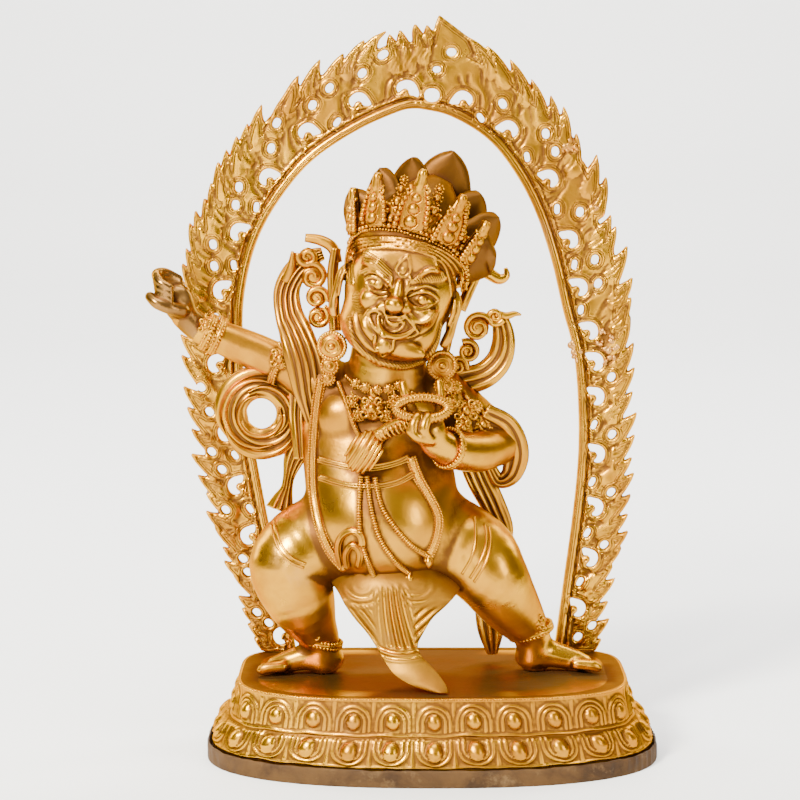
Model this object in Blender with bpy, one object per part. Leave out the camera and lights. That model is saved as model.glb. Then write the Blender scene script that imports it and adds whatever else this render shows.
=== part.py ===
"""Gilt bronze Vajrapani lunging on a double lotus plinth, inside a standing flame aureole.

Four solids: the sheet-metal tray that closes the underside, the lotus plinth, the aureole and the figure.
Metres, +Z up, +Y to the back. The origin is the middle of the tray's underside.
"""

import math

import bmesh
import bpy
from mathutils import Matrix, Vector

MM = 0.001

# Fits between separate pieces
SEAT_GAP = 0.3 * MM

# Tray
TRAY_HALF_WIDTH = 184 * MM
TRAY_HALF_DEPTH = 106 * MM
TRAY_HEIGHT = 14 * MM
TRAY_WALL = 2 * MM
TRAY_FLOOR = 2 * MM
TRAY_CLEARANCE = 3.5 * MM
TRAY_COLUMNS = 32

# Lotus plinth
PLINTH_TOP_Z = 67 * MM
PLINTH_END_INSET = 22.5 * MM
PLINTH_FACE_INSET = 12 * MM
# Superellipse powers of the plan: the back corners are squarer than the front ones
TOP_FRONT_POWER = 3.2
TOP_BACK_POWER = 5
FOOT_FRONT_POWER = 2.4
FOOT_BACK_POWER = 4
PETALS = 28
COLUMNS_PER_PETAL = 3
PETAL_DEPTH = 2.6 * MM

# Aureole
AUREOLE_SET_BACK = 14.5 * MM
ARCH_HEIGHT = 455 * MM
FLAME_THICKNESS = 5 * MM
RIM_THICKNESS = 9 * MM
RIM_WIDTH = 7.5 * MM
RIM_STEPS = 18
FOOT_FLAME_REACH = 42 * MM
CROWN_FLAME_REACH = 68 * MM
LEFT_FOOT_REACH = 15 * MM
RIGHT_FOOT_REACH = 33 * MM
TONGUE_PITCH = 14.5 * MM
TONGUE_RISE = 12.5 * MM
COMMA_RADIUS = 8.2 * MM
COMMA_REACH = 18.5 * MM
ROUND_RADIUS = 4.5 * MM
FOOT_ROUND_REACH = 26.5 * MM
CROWN_ROUND_REACH = 39 * MM
FLAME_WEB = 1.5 * MM
APEX_WIDTH_SHIFT = 15 * MM
APEX_REACH = 78 * MM

# Figure
FIGURE_HEIGHT = 422 * MM
FIGURE_VOXEL = 1.9 * MM
FIGURE_TRIANGLES = 4500
SOLE_HEIGHT = 2.4 * MM

# Sizes that follow from those above
FOOT_HALF_WIDTH = TRAY_HALF_WIDTH - TRAY_WALL - TRAY_CLEARANCE
FOOT_HALF_DEPTH = TRAY_HALF_DEPTH - TRAY_WALL - TRAY_CLEARANCE
TOP_HALF_WIDTH = FOOT_HALF_WIDTH - PLINTH_END_INSET
TOP_HALF_DEPTH = FOOT_HALF_DEPTH - PLINTH_FACE_INSET
# The arch is drawn for a plinth top 156 units in half width and an opening 455 units high
ARCH_UNIT_X = TOP_HALF_WIDTH / 156
ARCH_UNIT_Z = ARCH_HEIGHT / 455
# The figure is drawn 422 units high
FIGURE_UNIT = FIGURE_HEIGHT / 422


def clear_scene():
    for old in list(bpy.data.objects):
        bpy.data.objects.remove(old, do_unlink=True)


def metal(name, colour, roughness, metallic=1.0):
    material = bpy.data.materials.new(name)
    material.use_nodes = True
    shader = material.node_tree.nodes["Principled BSDF"]
    shader.inputs["Base Color"].default_value = (*colour, 1)
    shader.inputs["Roughness"].default_value = roughness
    shader.inputs["Metallic"].default_value = metallic
    return material


def add_object(name, mesh, material, smooth_angle=40):
    obj = bpy.data.objects.new(name, mesh)
    bpy.context.scene.collection.objects.link(obj)
    obj.data.materials.append(material)
    if smooth_angle:
        mesh.shade_smooth()
        mesh.set_sharp_from_angle(angle=math.radians(smooth_angle))
    return obj


def mesh_from(name, bm):
    bmesh.ops.recalc_face_normals(bm, faces=bm.faces)
    mesh = bpy.data.meshes.new(name)
    bm.to_mesh(mesh)
    bm.free()
    return mesh


def catmull_rom(rows, steps):
    """A smooth curve through rows of numbers, with steps samples to each span."""
    count = len(rows)
    samples = []
    for i in range(count - 1):
        before, start, end, after = (rows[min(max(i + k, 0), count - 1)] for k in (-1, 0, 1, 2))
        for step in range(steps):
            t = step / steps
            samples.append(
                tuple(
                    0.5 * (2 * b + (c - a) * t + (2 * a - 5 * b + 4 * c - d) * t**2 + (3 * b - a - 3 * c + d) * t**3)
                    for a, b, c, d in zip(before, start, end, after)
                )
            )
    samples.append(tuple(rows[-1]))
    return samples


# The plinth and its tray


def plan_outline(half_width, half_depth, front_power, back_power, count):
    """Points at equal spacing round two joined half superellipses, with outward normals, from the front middle."""
    fine = []
    for i in range(1440):
        angle = 2 * math.pi * i / 1440 - math.pi / 2
        c, s = math.cos(angle), math.sin(angle)
        power = back_power if s > 0 else front_power
        x = half_width * math.copysign(abs(c) ** (2 / power), c)
        y = half_depth * math.copysign(abs(s) ** (2 / power), s)
        fine.append(Vector((x, y, 0)))
    lengths = [0.0]
    for a, b in zip(fine, fine[1:] + fine[:1]):
        lengths.append(lengths[-1] + (b - a).length)
    points = []
    place = 0
    for i in range(count):
        wanted = lengths[-1] * i / count
        while lengths[place + 1] < wanted:
            place += 1
        share = (wanted - lengths[place]) / (lengths[place + 1] - lengths[place])
        points.append(fine[place].lerp(fine[(place + 1) % len(fine)], share))
    normals = []
    for i in range(count):
        along = points[(i + 1) % count] - points[i - 1]
        normals.append(Vector((along.y, -along.x, 0)).normalized())
    return points, normals


def stack_rings(bm, rings, close=True):
    """Joins rings of equal size, bottom to top, and fills the first and last."""
    loops = [[bm.verts.new(p) for p in ring] for ring in rings]
    for low, high in zip(loops, loops[1:]):
        for i in range(len(low)):
            j = (i + 1) % len(low)
            bm.faces.new((low[i], low[j], high[j], high[i]))
    if close:
        bm.faces.new(list(reversed(loops[0])))
        bm.faces.new(loops[-1])
    return loops


def build_tray(material):
    powers = (FOOT_FRONT_POWER, FOOT_BACK_POWER)
    outer, _ = plan_outline(TRAY_HALF_WIDTH, TRAY_HALF_DEPTH, *powers, TRAY_COLUMNS)
    inner, _ = plan_outline(TRAY_HALF_WIDTH - TRAY_WALL, TRAY_HALF_DEPTH - TRAY_WALL, *powers, TRAY_COLUMNS)
    rings = [
        [p + Vector((0, 0, z)) for p in line]
        for line, z in ((outer, 0), (outer, TRAY_HEIGHT), (inner, TRAY_HEIGHT), (inner, TRAY_FLOOR))
    ]
    bm = bmesh.new()
    stack_rings(bm, rings)
    return add_object("base_tray", mesh_from("base_tray", bm), material)


def build_plinth(material):
    """A stack of rings. Each row gives shares of the height, of the inset and of the petals' relief."""
    rows = (
        (0.21, 0.0, 0),
        (0.25, 0.03, 0.2),
        (0.30, 0.12, 0.9),
        (0.40, 0.28, 1.15),
        (0.51, 0.52, 0.9),
        (0.555, 0.74, 0),
        (0.60, 0.75, 0.7),
        (0.73, 0.85, 1.0),
        (0.84, 0.93, 0.6),
        (0.89, 0.96, 0),
        (1.0, 1.0, 0),
    )
    foot_z = TRAY_FLOOR + SEAT_GAP
    count = PETALS * COLUMNS_PER_PETAL
    rings = []
    for height, inset, relief in ((foot_z / PLINTH_TOP_Z, 0, 0),) + rows:
        half_width = FOOT_HALF_WIDTH - PLINTH_END_INSET * inset
        half_depth = FOOT_HALF_DEPTH - PLINTH_FACE_INSET * inset
        front = FOOT_FRONT_POWER + (TOP_FRONT_POWER - FOOT_FRONT_POWER) * inset
        back = FOOT_BACK_POWER + (TOP_BACK_POWER - FOOT_BACK_POWER) * inset
        points, normals = plan_outline(half_width, half_depth, front, back, count)
        ring = []
        for i, (point, normal) in enumerate(zip(points, normals)):
            # The first column of each petal is the valley beside it
            rise = PETAL_DEPTH * relief if i % COLUMNS_PER_PETAL else 0
            ring.append(point + normal * rise + Vector((0, 0, height * PLINTH_TOP_Z)))
        rings.append(ring)
    bm = bmesh.new()
    stack_rings(bm, rings)
    return add_object("lotus_plinth", mesh_from("lotus_plinth", bm), material)


# The aureole

# Inner edge of the arch from each foot up to the crown of the arch: x and height above the plinth's top, in the
# arch's own units
LEFT_ARCH = ((-113, -4), (-123, 53), (-135, 104), (-146, 163), (-155, 214), (-157, 273), (-154, 310), (-144, 347),
             (-126, 380), (-99, 412), (-62, 437), (-26, 453), (-11, 455))
RIGHT_ARCH = ((103, -4), (112, 66), (118, 113), (122, 155), (123, 189), (121, 231), (117, 260), (109, 289),
              (99, 331), (85, 372), (67, 405), (45, 431), (15, 449), (-11, 455))
# Distances up each half, from its foot, of the comma-shaped hole at the root of every large flame
LEFT_STATIONS = (22, 64, 109, 152, 198, 253, 311, 357, 404, 448, 493)
RIGHT_STATIONS = (43, 87, 130, 174, 221, 268, 311, 350, 399, 446, 485)


class Arch:
    """One half of the aureole, measured by distance up the inner edge and reach outward from it."""

    def __init__(self, points, outward, foot_reach):
        drawn = [Vector((x, 0, z)) for x, z in catmull_rom(points, 8)]
        self.line = [Vector((point.x * ARCH_UNIT_X, 0, point.z * ARCH_UNIT_Z)) for point in drawn]
        self.lengths = [0.0]
        for a, b in zip(self.line, self.line[1:]):
            self.lengths.append(self.lengths[-1] + (b - a).length)
        self.outward = outward
        self.foot_reach = foot_reach
        self.length = self.lengths[-1]
        # What one drawn unit up the arch comes to
        self.unit = self.length / sum((b - a).length for a, b in zip(drawn, drawn[1:]))

    def at(self, distance, reach):
        i = 0
        while i < len(self.line) - 2 and self.lengths[i + 1] < distance:
            i += 1
        a, b = self.line[i], self.line[i + 1]
        along = (b - a).normalized()
        point = a + along * (distance - self.lengths[i])
        normal = Vector((along.z, 0, -along.x)) * self.outward
        point = point + normal * reach
        return Vector((point.x, 0, max(point.z, 0)))

    def tip_reach(self, distance):
        """How far out the tongues' tips lie: the flames grow from the feet to the crown."""
        return FOOT_FLAME_REACH + (CROWN_FLAME_REACH - FOOT_FLAME_REACH) * distance / self.length

    def round_reach(self, distance):
        """How far out the round holes' centres lie."""
        return FOOT_ROUND_REACH + (CROWN_ROUND_REACH - FOOT_ROUND_REACH) * distance / self.length


def flame_edge(arch):
    """The outer edge of one half, from the foot up: tongues of uneven size that lean the way the flames rise."""
    tongues = round(arch.length / TONGUE_PITCH)
    pitch = arch.length / tongues
    edge = [arch.at(0, arch.foot_reach)]
    for k in range(tongues):
        start = k * pitch
        uneven = math.sin(2.1 * k) ** 2
        tip = arch.tip_reach(start) - 4 * MM * uneven
        rise = TONGUE_RISE * (0.75 + 0.35 * math.sin(1.3 * k) ** 2)
        if k == 0:
            tip = 0.5 * (tip + arch.foot_reach + rise)
        # The notch leaves a web of metal outside the holes
        notch = max(tip - 0.85 * rise, arch.round_reach(start + pitch) + 2 * ROUND_RADIUS + FLAME_WEB)
        edge.append(arch.at(start + 0.35 * pitch, tip - 0.25 * (tip - notch)))
        edge.append(arch.at(start + 1.02 * pitch, tip))
        edge.append(arch.at(start + 0.92 * pitch, min(notch, tip - 2 * FLAME_WEB)))
    return edge[:-1]


def ring_hole(arch, distance, reach, half_along, half_across, count):
    hole = []
    for i in range(count):
        angle = 2 * math.pi * i / count
        hole.append(arch.at(distance + half_along * math.cos(angle), reach + half_across * math.sin(angle)))
    return hole


def comma_hole(arch, distance):
    """A round hole with the curl of the next flame biting into its lower, inner side."""
    hole = ring_hole(arch, distance, COMMA_REACH, COMMA_RADIUS, COMMA_RADIUS, 8)
    hole[5] = arch.at(distance - 0.18 * COMMA_RADIUS, COMMA_REACH - 0.43 * COMMA_RADIUS)
    return hole


def aureole_holes(arch, stations):
    """Each flame has a comma hole at its root, a round one outside it, an oval near the rim and a small outer one."""
    holes = []
    for here in stations:
        root = here * arch.unit
        outer = arch.round_reach(root)
        holes.append(comma_hole(arch, root))
        if here > 60:
            small = 0.8 * ROUND_RADIUS
            holes.append(ring_hole(arch, root + 15.5 * arch.unit, outer, ROUND_RADIUS, ROUND_RADIUS, 5))
            holes.append(ring_hole(arch, root + 23 * arch.unit, 14 * MM, small, ROUND_RADIUS, 5))
            if arch.outward < 0:
                holes.append(ring_hole(arch, root + 31 * arch.unit, outer + 4 * MM, small, small, 5))
    return holes


def flat_plate(outline, holes, thickness):
    """A flat upright plate with holes: filled splines in the curve's own plane, extruded and stood up."""
    curve = bpy.data.curves.new("plate", "CURVE")
    curve.dimensions = "2D"
    curve.fill_mode = "BOTH"
    curve.extrude = thickness / 2
    for points in [outline] + holes:
        spline = curve.splines.new("POLY")
        spline.points.add(len(points) - 1)
        for slot, point in zip(spline.points, points):
            slot.co = (point.x, point.z, 0, 1)
        spline.use_cyclic_u = True
    holder = bpy.data.objects.new("plate", curve)
    bpy.context.scene.collection.objects.link(holder)
    graph = bpy.context.evaluated_depsgraph_get()
    mesh = bpy.data.meshes.new_from_object(holder.evaluated_get(graph))
    bpy.data.objects.remove(holder, do_unlink=True)
    mesh.transform(Matrix.Rotation(math.radians(90), 4, "X"))
    bm = bmesh.new()
    bm.from_mesh(mesh)
    bpy.data.meshes.remove(mesh)
    bmesh.ops.remove_doubles(bm, verts=bm.verts, dist=0.02 * MM)
    return bm


def raise_rim(bm, edge_line, rim_line):
    """Swaps the plate's inner wall for a thicker rounded rim that runs from edge_line in to rim_line."""
    near = [vert for vert in bm.verts if min((vert.co - p).xz.length for p in edge_line) < 0.05 * MM]
    wall = [face for face in bm.faces if abs(face.normal.y) < 0.5 and all(vert in near for vert in face.verts)]
    bmesh.ops.delete(bm, geom=wall, context="FACES")
    sections = []
    for outer, inner in zip(edge_line, rim_line):
        middle = outer.lerp(inner, 0.5)
        section = []
        for point, y in (
            (outer, -FLAME_THICKNESS / 2),
            (outer.lerp(inner, 0.08), -RIM_THICKNESS / 2 + 1 * MM),
            (middle, -RIM_THICKNESS / 2),
            (inner, -RIM_THICKNESS / 2 + 2 * MM),
            (inner, RIM_THICKNESS / 2 - 2 * MM),
            (middle, RIM_THICKNESS / 2),
            (outer.lerp(inner, 0.08), RIM_THICKNESS / 2 - 1 * MM),
            (outer, FLAME_THICKNESS / 2),
        ):
            section.append(bm.verts.new((point.x, y, point.z)))
        sections.append(section)
    for low, high in zip(sections, sections[1:]):
        for k in range(len(low) - 1):
            bm.faces.new((low[k], low[k + 1], high[k + 1], high[k]))
    bm.faces.new(sections[0])
    bm.faces.new(list(reversed(sections[-1])))
    bmesh.ops.remove_doubles(bm, verts=bm.verts, dist=0.05 * MM)


def build_aureole(material):
    left = Arch(LEFT_ARCH, -1, LEFT_FOOT_REACH)
    right = Arch(RIGHT_ARCH, 1, RIGHT_FOOT_REACH)
    apex = left.line[-1] + Vector((APEX_WIDTH_SHIFT, 0, APEX_REACH))
    steps = range(RIM_STEPS)
    edge_line = [left.at(left.length * i / RIM_STEPS, RIM_WIDTH) for i in steps]
    edge_line.append(left.line[-1] + Vector((0, 0, RIM_WIDTH)))
    edge_line += [right.at(right.length * i / RIM_STEPS, RIM_WIDTH) for i in reversed(steps)]
    rim_line = [left.at(left.length * i / RIM_STEPS, 0) for i in steps]
    rim_line.append(left.line[-1])
    rim_line += [right.at(right.length * i / RIM_STEPS, 0) for i in reversed(steps)]
    outline = flame_edge(left) + [apex] + list(reversed(flame_edge(right)))[2:] + list(reversed(edge_line))
    holes = aureole_holes(left, LEFT_STATIONS) + aureole_holes(right, RIGHT_STATIONS)
    bm = flat_plate(outline, holes, FLAME_THICKNESS)
    raise_rim(bm, edge_line, rim_line)
    aureole = add_object("aureole", mesh_from("aureole", bm), material)
    aureole.location = (0, TOP_HALF_DEPTH - AUREOLE_SET_BACK, PLINTH_TOP_Z + SEAT_GAP)
    return aureole


# The figure, in its own units above the plinth's top, x to the viewer's right


def tube(bm, rows, sides=14, steps=5):
    """A round limb through rows of x, y, z and radius, with a ball at each end."""
    samples = catmull_rom(rows, steps)
    centres = [Vector(row[:3]) for row in samples]
    side = Vector((1, 0, 0))
    rings = []
    for i, row in enumerate(samples):
        along = (centres[min(i + 1, len(centres) - 1)] - centres[max(i - 1, 0)]).normalized()
        if abs(along.dot(side)) > 0.9:
            side = Vector((0, 1, 0)) if abs(along.y) < 0.7 else Vector((0, 0, 1))
        side = (side - along * along.dot(side)).normalized()
        other = along.cross(side)
        ring = []
        for k in range(sides):
            angle = 2 * math.pi * k / sides
            ring.append(centres[i] + (side * math.cos(angle) + other * math.sin(angle)) * row[3])
        rings.append(ring)
    stack_rings(bm, rings)
    for row in (rows[0], rows[-1]):
        ball(bm, row[:3], (row[3],) * 3)


def ball(bm, centre, radii, frame=Matrix.Identity(3)):
    """An ellipsoid whose own axes are the columns of frame."""
    made = bmesh.ops.create_icosphere(bm, subdivisions=2, radius=1)
    for vert in made["verts"]:
        vert.co = Vector(centre) + frame @ Vector([c * r for c, r in zip(vert.co, radii)])


def column(bm, rows, sides=24, steps=4):
    """Level elliptical sections: x, y, z, half width, half depth."""
    rings = []
    for x, y, z, a, b in catmull_rom(rows, steps):
        angles = [2 * math.pi * k / sides for k in range(sides)]
        rings.append([Vector((x + a * math.cos(t), y + b * math.sin(t), z)) for t in angles])
    stack_rings(bm, rings)


def band(bm, rows, thickness, face=Vector((0, -1, 0)), steps=5):
    """A flat strip through rows of x, y, z and width whose face looks along face."""
    samples = catmull_rom(rows, steps)
    centres = [Vector(row[:3]) for row in samples]
    rings = []
    for i, row in enumerate(samples):
        along = (centres[min(i + 1, len(centres) - 1)] - centres[max(i - 1, 0)]).normalized()
        across = along.cross(face).normalized()
        out = across.cross(along).normalized()
        w = row[3] / 2
        t = thickness / 2
        ring = []
        for u, v in ((-1, -0.5), (-0.8, -1), (0, -1.15), (0.8, -1), (1, -0.5), (1, 0.5), (0.8, 1), (0, 1.15), (-0.8, 1),
                     (-1, 0.5)):
            ring.append(centres[i] + across * u * w + out * v * t)
        rings.append(ring)
    stack_rings(bm, rings)


def leaf(bm, root, tip, width, thickness, face):
    """A pointed leaf from root to tip, widest a third of the way up."""
    root, tip = Vector(root), Vector(tip)
    rows = [(*root.lerp(tip, t), width * w) for t, w in ((0, 0.7), (0.3, 1), (0.6, 0.8), (0.85, 0.5), (1, 0.25))]
    band(bm, rows, thickness, face, 2)


# Torso sections: x, y, z, half width, half depth
TORSO = ((-30, 0, 66, 30, 24), (-32, -2, 80, 48, 38), (-37, -7, 100, 58, 46), (-39, -10, 125, 61, 50),
         (-41, -8, 150, 61, 48), (-44, -4, 175, 60, 42), (-46, -1, 200, 59, 37), (-44, 1, 222, 54, 32),
         (-41, 1, 238, 40, 26), (-39, -3, 252, 27, 22))
# Limbs: x, y, z, radius
RIGHT_THIGH = ((-60, 2, 112, 40), (-96, -10, 108, 36), (-116, -20, 92, 31), (-107, -18, 66, 28), (-98, -10, 44, 20),
               (-91, -4, 28, 15.5), (-90, -1, 14, 14))
LEFT_THIGH = ((0, 2, 112, 40), (32, -10, 99, 35), (46, -18, 84, 30), (56, -14, 68, 26.5), (68, -6, 50, 21.5),
              (79, 3, 34, 16), (84, 8, 18, 14))
RIGHT_FOOT = ((-84, -1, 12, 10), (-100, -3, 12, 10), (-118, -5, 9.5, 7), (-130, -6, 7, 5))
LEFT_FOOT = ((80, 9, 12, 10), (98, 6, 12, 10), (118, 3, 9, 7), (134, 1, 7, 5))
RIGHT_ARM = ((-84, 4, 232, 25), (-100, 7, 243, 21), (-122, 9, 252, 15.5), (-143, 10, 261, 15), (-168, 8, 272, 13.5),
             (-188, 6, 281, 11.5), (-201, 3, 293, 12))
LEFT_UPPER_ARM = ((6, 5, 224, 25), (30, 9, 208, 20), (54, 10, 189, 17.5))
LEFT_FOREARM = ((54, 10, 187, 17.5), (38, -16, 184, 16.5), (20, -38, 187, 15), (4, -54, 194, 12), (-3, -60, 204, 12))
# Head: its own axes lean to the viewer's right and turn a little to the viewer's left
HEAD_CENTRE = (-28, -20, 306)
HEAD_LEAN = 15
HEAD_TURN = -7


def add_body(bm):
    column(bm, TORSO)
    for rows in (RIGHT_THIGH, LEFT_THIGH, RIGHT_FOOT, LEFT_FOOT, RIGHT_ARM, LEFT_UPPER_ARM, LEFT_FOREARM):
        tube(bm, rows)
    tube(bm, ((-39, -6, 240, 22), (-37, -14, 262, 21), (-34, -18, 280, 22)))
    for x, y in ((-82, -1), (78, 9)):
        ball(bm, (x, y, 10), (11, 9, 8))
    for x, y in ((-127, -12), (-133, -5), (-131, 1), (128, -6), (137, 0), (132, 7)):
        ball(bm, (x, y, 6.5), (8, 4, 3.8))
    for x, y in ((-84, -1), (-116, -5), (84, 8), (118, 3)):
        column(bm, ((x, y, 0, 9, 7), (x, y, 4 * SOLE_HEIGHT / FIGURE_UNIT, 7, 5)), 12, 1)
    # Soft chest and the seat behind the thighs
    ball(bm, (-66, -17, 212), (26, 18, 22))
    ball(bm, (-18, -18, 210), (26, 18, 22))
    ball(bm, (-54, 22, 112), (34, 26, 30))
    ball(bm, (-14, 22, 112), (34, 26, 30))


def add_hands(bm):
    # Raised right fist, closed round the empty socket of the lost thunderbolt
    ball(bm, (-206, 4, 306), (13, 9, 15))
    for k in range(4):
        reach = 4.5 * k
        tube(bm, ((-203 - 0.4 * reach, 8, 312 + reach, 4.6), (-214 - 0.5 * reach, 0, 318 + reach, 4.6),
                  (-222, -9, 312 + reach, 4.2)), 8)
    tube(bm, ((-206, -4, 302, 6), (-218, -10, 309, 5), (-227, -8, 317, 4.2)), 8)
    # Left hand before the chest: index and little fingers raised, the middle two folded on the noose
    ball(bm, (-6, -64, 209), (13, 9, 14))
    tube(bm, ((-14, -66, 218, 5), (-21, -68, 230, 4.4), (-24, -67, 241, 3.6)), 8)
    tube(bm, ((0, -66, 216, 4.6), (3, -67, 230, 4), (3, -66, 243, 3.2)), 8)
    tube(bm, ((-12, -70, 214, 4.6), (-17, -77, 209, 4.6), (-9, -75, 203, 4.2)), 8)
    tube(bm, ((-4, -70, 214, 4.4), (-8, -77, 208, 4.4), (-2, -74, 202, 4)), 8)
    # Noose: a ribbed loop through the hand, its cord and its hanging end
    loop = [(-9 + 20 * math.cos(t), -72, 225 + 8 * math.sin(t), 4.2) for t in (k * math.pi / 6 for k in range(13))]
    tube(bm, loop, 8, 2)
    tube(bm, ((-20, -68, 215, 3.5), (-30, -66, 206, 4), (-40, -63, 200, 5)), 8)
    ball(bm, (-54, -59, 190), (15, 8, 19), Matrix.Rotation(math.radians(32), 3, "Y"))


def head_axes():
    lean = Matrix.Rotation(math.radians(HEAD_LEAN), 3, "Y")
    turn = Matrix.Rotation(math.radians(HEAD_TURN), 3, "Z")
    return lean @ turn


def add_head(bm):
    axes = head_axes()

    def at(right, front, up):
        return Vector(HEAD_CENTRE) + axes @ Vector((right, -front, up))

    ball(bm, at(0, 0, 8), (44, 42, 47), axes)
    ball(bm, at(0, 8, -18), (40, 34, 27), axes)
    ball(bm, at(-1, 24, -35), (17, 15, 11), axes)
    ball(bm, at(0, 43, 2), (9, 9, 9), axes)
    ball(bm, at(0, 39, 12), (6, 7, 12), axes)
    ball(bm, at(0, 37, 30), (9, 5, 12), axes)
    for side in (-1, 1):
        ball(bm, at(17 * side, 34, 21), (15, 7, 6), axes @ Matrix.Rotation(-0.35 * side, 3, "Y"))
        ball(bm, at(19 * side, 35, 9), (9, 6, 6), axes)
        ball(bm, at(22 * side, 29, -6), (13, 11, 11), axes)
        ball(bm, at(44 * side, 0, 0), (6, 10, 22), axes)
        tube(bm, [(*at(x * side, y, z), 3.6) for x, y, z in ((4, 43, -9), (15, 38, -8), (24, 32, -16))], 8)
    tube(bm, [(*at(x, y, z), 4.2) for x, y, z in ((-17, 34, -15), (-8, 39, -25), (4, 40, -27), (18, 33, -17))], 8)
    leaf(bm, at(-5, 42, -26), at(-3, 36, -46), 15, 5, axes @ Vector((0, -1, 0)))
    # Beard and hair line frame the face
    beard = [(-43, 10, 6), (-39, 18, -16), (-26, 25, -36), (0, 27, -46), (26, 25, -36), (39, 18, -16), (43, 10, 6)]
    tube(bm, [(*at(*p), 6) for p in beard], 8)
    hair = [(-43, 8, 12), (-37, 26, 30), (-18, 36, 41), (0, 39, 44), (18, 36, 41), (37, 26, 30), (43, 8, 12)]
    tube(bm, [(*at(*p), 7) for p in hair], 8)
    ball(bm, at(0, 22, 38), (30, 17, 14), axes)


def add_crown(bm):
    axes = head_axes()

    def at(right, front, up):
        return Vector(HEAD_CENTRE) + axes @ Vector((right, -front, up))

    ring = []
    for k in range(25):
        t = 2 * math.pi * k / 24
        ring.append((*at(48 * math.sin(t), 5 + 37 * math.cos(t), 38 + 12 * math.cos(t)), 8.5))
    tube(bm, ring, 10, 1)
    ball(bm, at(0, 0, 44), (44, 36, 20), axes)
    # Five skull leaves in front
    for angle, height in ((-72, 74), (-38, 91), (-2, 103), (36, 93), (72, 78)):
        t = math.radians(angle)
        root = at(47 * math.sin(t), 6 + 37 * math.cos(t), 38 + 12 * math.cos(t))
        tip = at(56 * math.sin(t), 6 + 45 * math.cos(t), height)
        face = axes @ Vector((math.sin(t), -math.cos(t), 0))
        leaf(bm, root, tip, 27, 7, face)
    # Flame-shaped hair stands behind them as a fan of overlapping lobes round an open hollow
    # Each lobe's tip: to the right, back and up
    lobes = ((-52, 0, 80), (-34, 16, 102), (-13, 26, 116), (16, 30, 126), (43, 24, 106), (60, 12, 91), (70, 2, 64))
    for right, back, up in lobes:
        wide = 1.3 if right == 16 else 1
        root = at(0.6 * right, -0.9 * back, 36)
        middle = at(0.86 * right, -1.1 * back, 0.5 * up + 24)
        tip = at(right, -back, up)
        face = axes @ Vector((right / 60, 0.3 + back / 30, 0)).normalized()
        rows = [(*root, 34 * wide), (*root.lerp(middle, 0.6), 38 * wide), (*middle, 36 * wide),
                (*middle.lerp(tip, 0.6), 25 * wide), (*tip, 9 * wide)]
        band(bm, rows, 6.5, face, 3)


def add_scarves(bm):
    # Right shoulder: the scarf climbs beside the ear and ends in curls
    band(bm, ((-104, -2, 188, 20), (-106, -3, 215, 24), (-105, -3, 240, 25), (-108, 1, 267, 24), (-116, 5, 290, 22),
              (-116, 9, 314, 20), (-106, 11, 330, 18), (-92, 12, 338, 15)), 7)
    band(bm, ((-118, 9, 318, 12), (-113, 7, 330, 9), (-112, 5, 340, 4)), 5)
    for x, z in ((-97, 323), (-92, 305), (-91, 289)):
        ball(bm, (x, 3, z), (13, 6, 10))
    band(bm, ((-77, 2, 345, 8), (-80, 2, 325, 9), (-79, 0, 300, 9), (-78, -4, 279, 10)), 7)
    tube(bm, ((-78, 3, 336, 5), (-88, 4, 350, 5), (-101, 5, 353, 5)), 8)
    # The scarf's ring below the raised arm
    ring = [(-138 + 24 * math.cos(t), 9, 211 + 25 * math.sin(t), 25) for t in (k * math.pi / 8 for k in range(17))]
    band(bm, ring, 9, Vector((0, -1, 0)), 1)
    band(bm, ((-108, 7, 235, 20), (-100, 7, 212, 22), (-104, 8, 192, 21), (-112, 9, 174, 17), (-116, 9, 160, 9),
              (-118, 9, 150, 9), (-121, 9, 141, 17), (-124, 9, 133, 22)), 6.5)
    # Left shoulder: a broad scarf curls up to a spiral, and loops round the elbow
    band(bm, ((10, 4, 236, 22), (26, 4, 238, 23), (42, 5, 243, 21), (53, 6, 254, 20), (57, 6, 269, 18), (55, 7, 284, 14),
              (48, 7, 293, 10)), 7)
    band(bm, ((48, 6, 292, 7), (58, 6, 290, 6), (68, 6, 291, 4)), 5)
    for x, z, r in ((35, 282, 11), (27, 262, 9), (20, 250, 9)):
        ball(bm, (x, 2, z), (r, 6, r + 1))
    band(bm, ((22, -4, 296, 9), (30, -1, 314, 9), (38, 1, 331, 9), (44, 2, 342, 9)), 7)
    tube(bm, ((42, 3, 318, 5), (52, 3, 321, 5), (60, 3, 320, 4.5)), 8)
    band(bm, ((50, 6, 206, 16), (62, 6, 194, 14), (70, 8, 174, 14), (65, 9, 157, 13), (53, 10, 157, 11),
              (47, 10, 170, 10)), 7)
    band(bm, ((26, 18, 186, 20), (36, 18, 162, 22), (48, 20, 138, 20), (58, 22, 116, 16), (62, 22, 104, 10)), 7)
    # Ear ornaments
    ball(bm, (-80, -8, 269), (12, 6, 12))
    ball(bm, (-84, -10, 248), (9, 5, 14))
    ball(bm, (7, -22, 254), (12, 8, 13))
    tube(bm, ((14, -12, 290, 4), (12, -18, 272, 4), (8, -22, 256, 4)), 8)
    # Cloth behind the left calf comes down to the plinth's top
    band(bm, ((44, 22, 90, 20), (47, 26, 64, 24), (48, 29, 40, 24), (49, 30, 24, 20), (50, 31, 12, 10)), 6)


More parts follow.
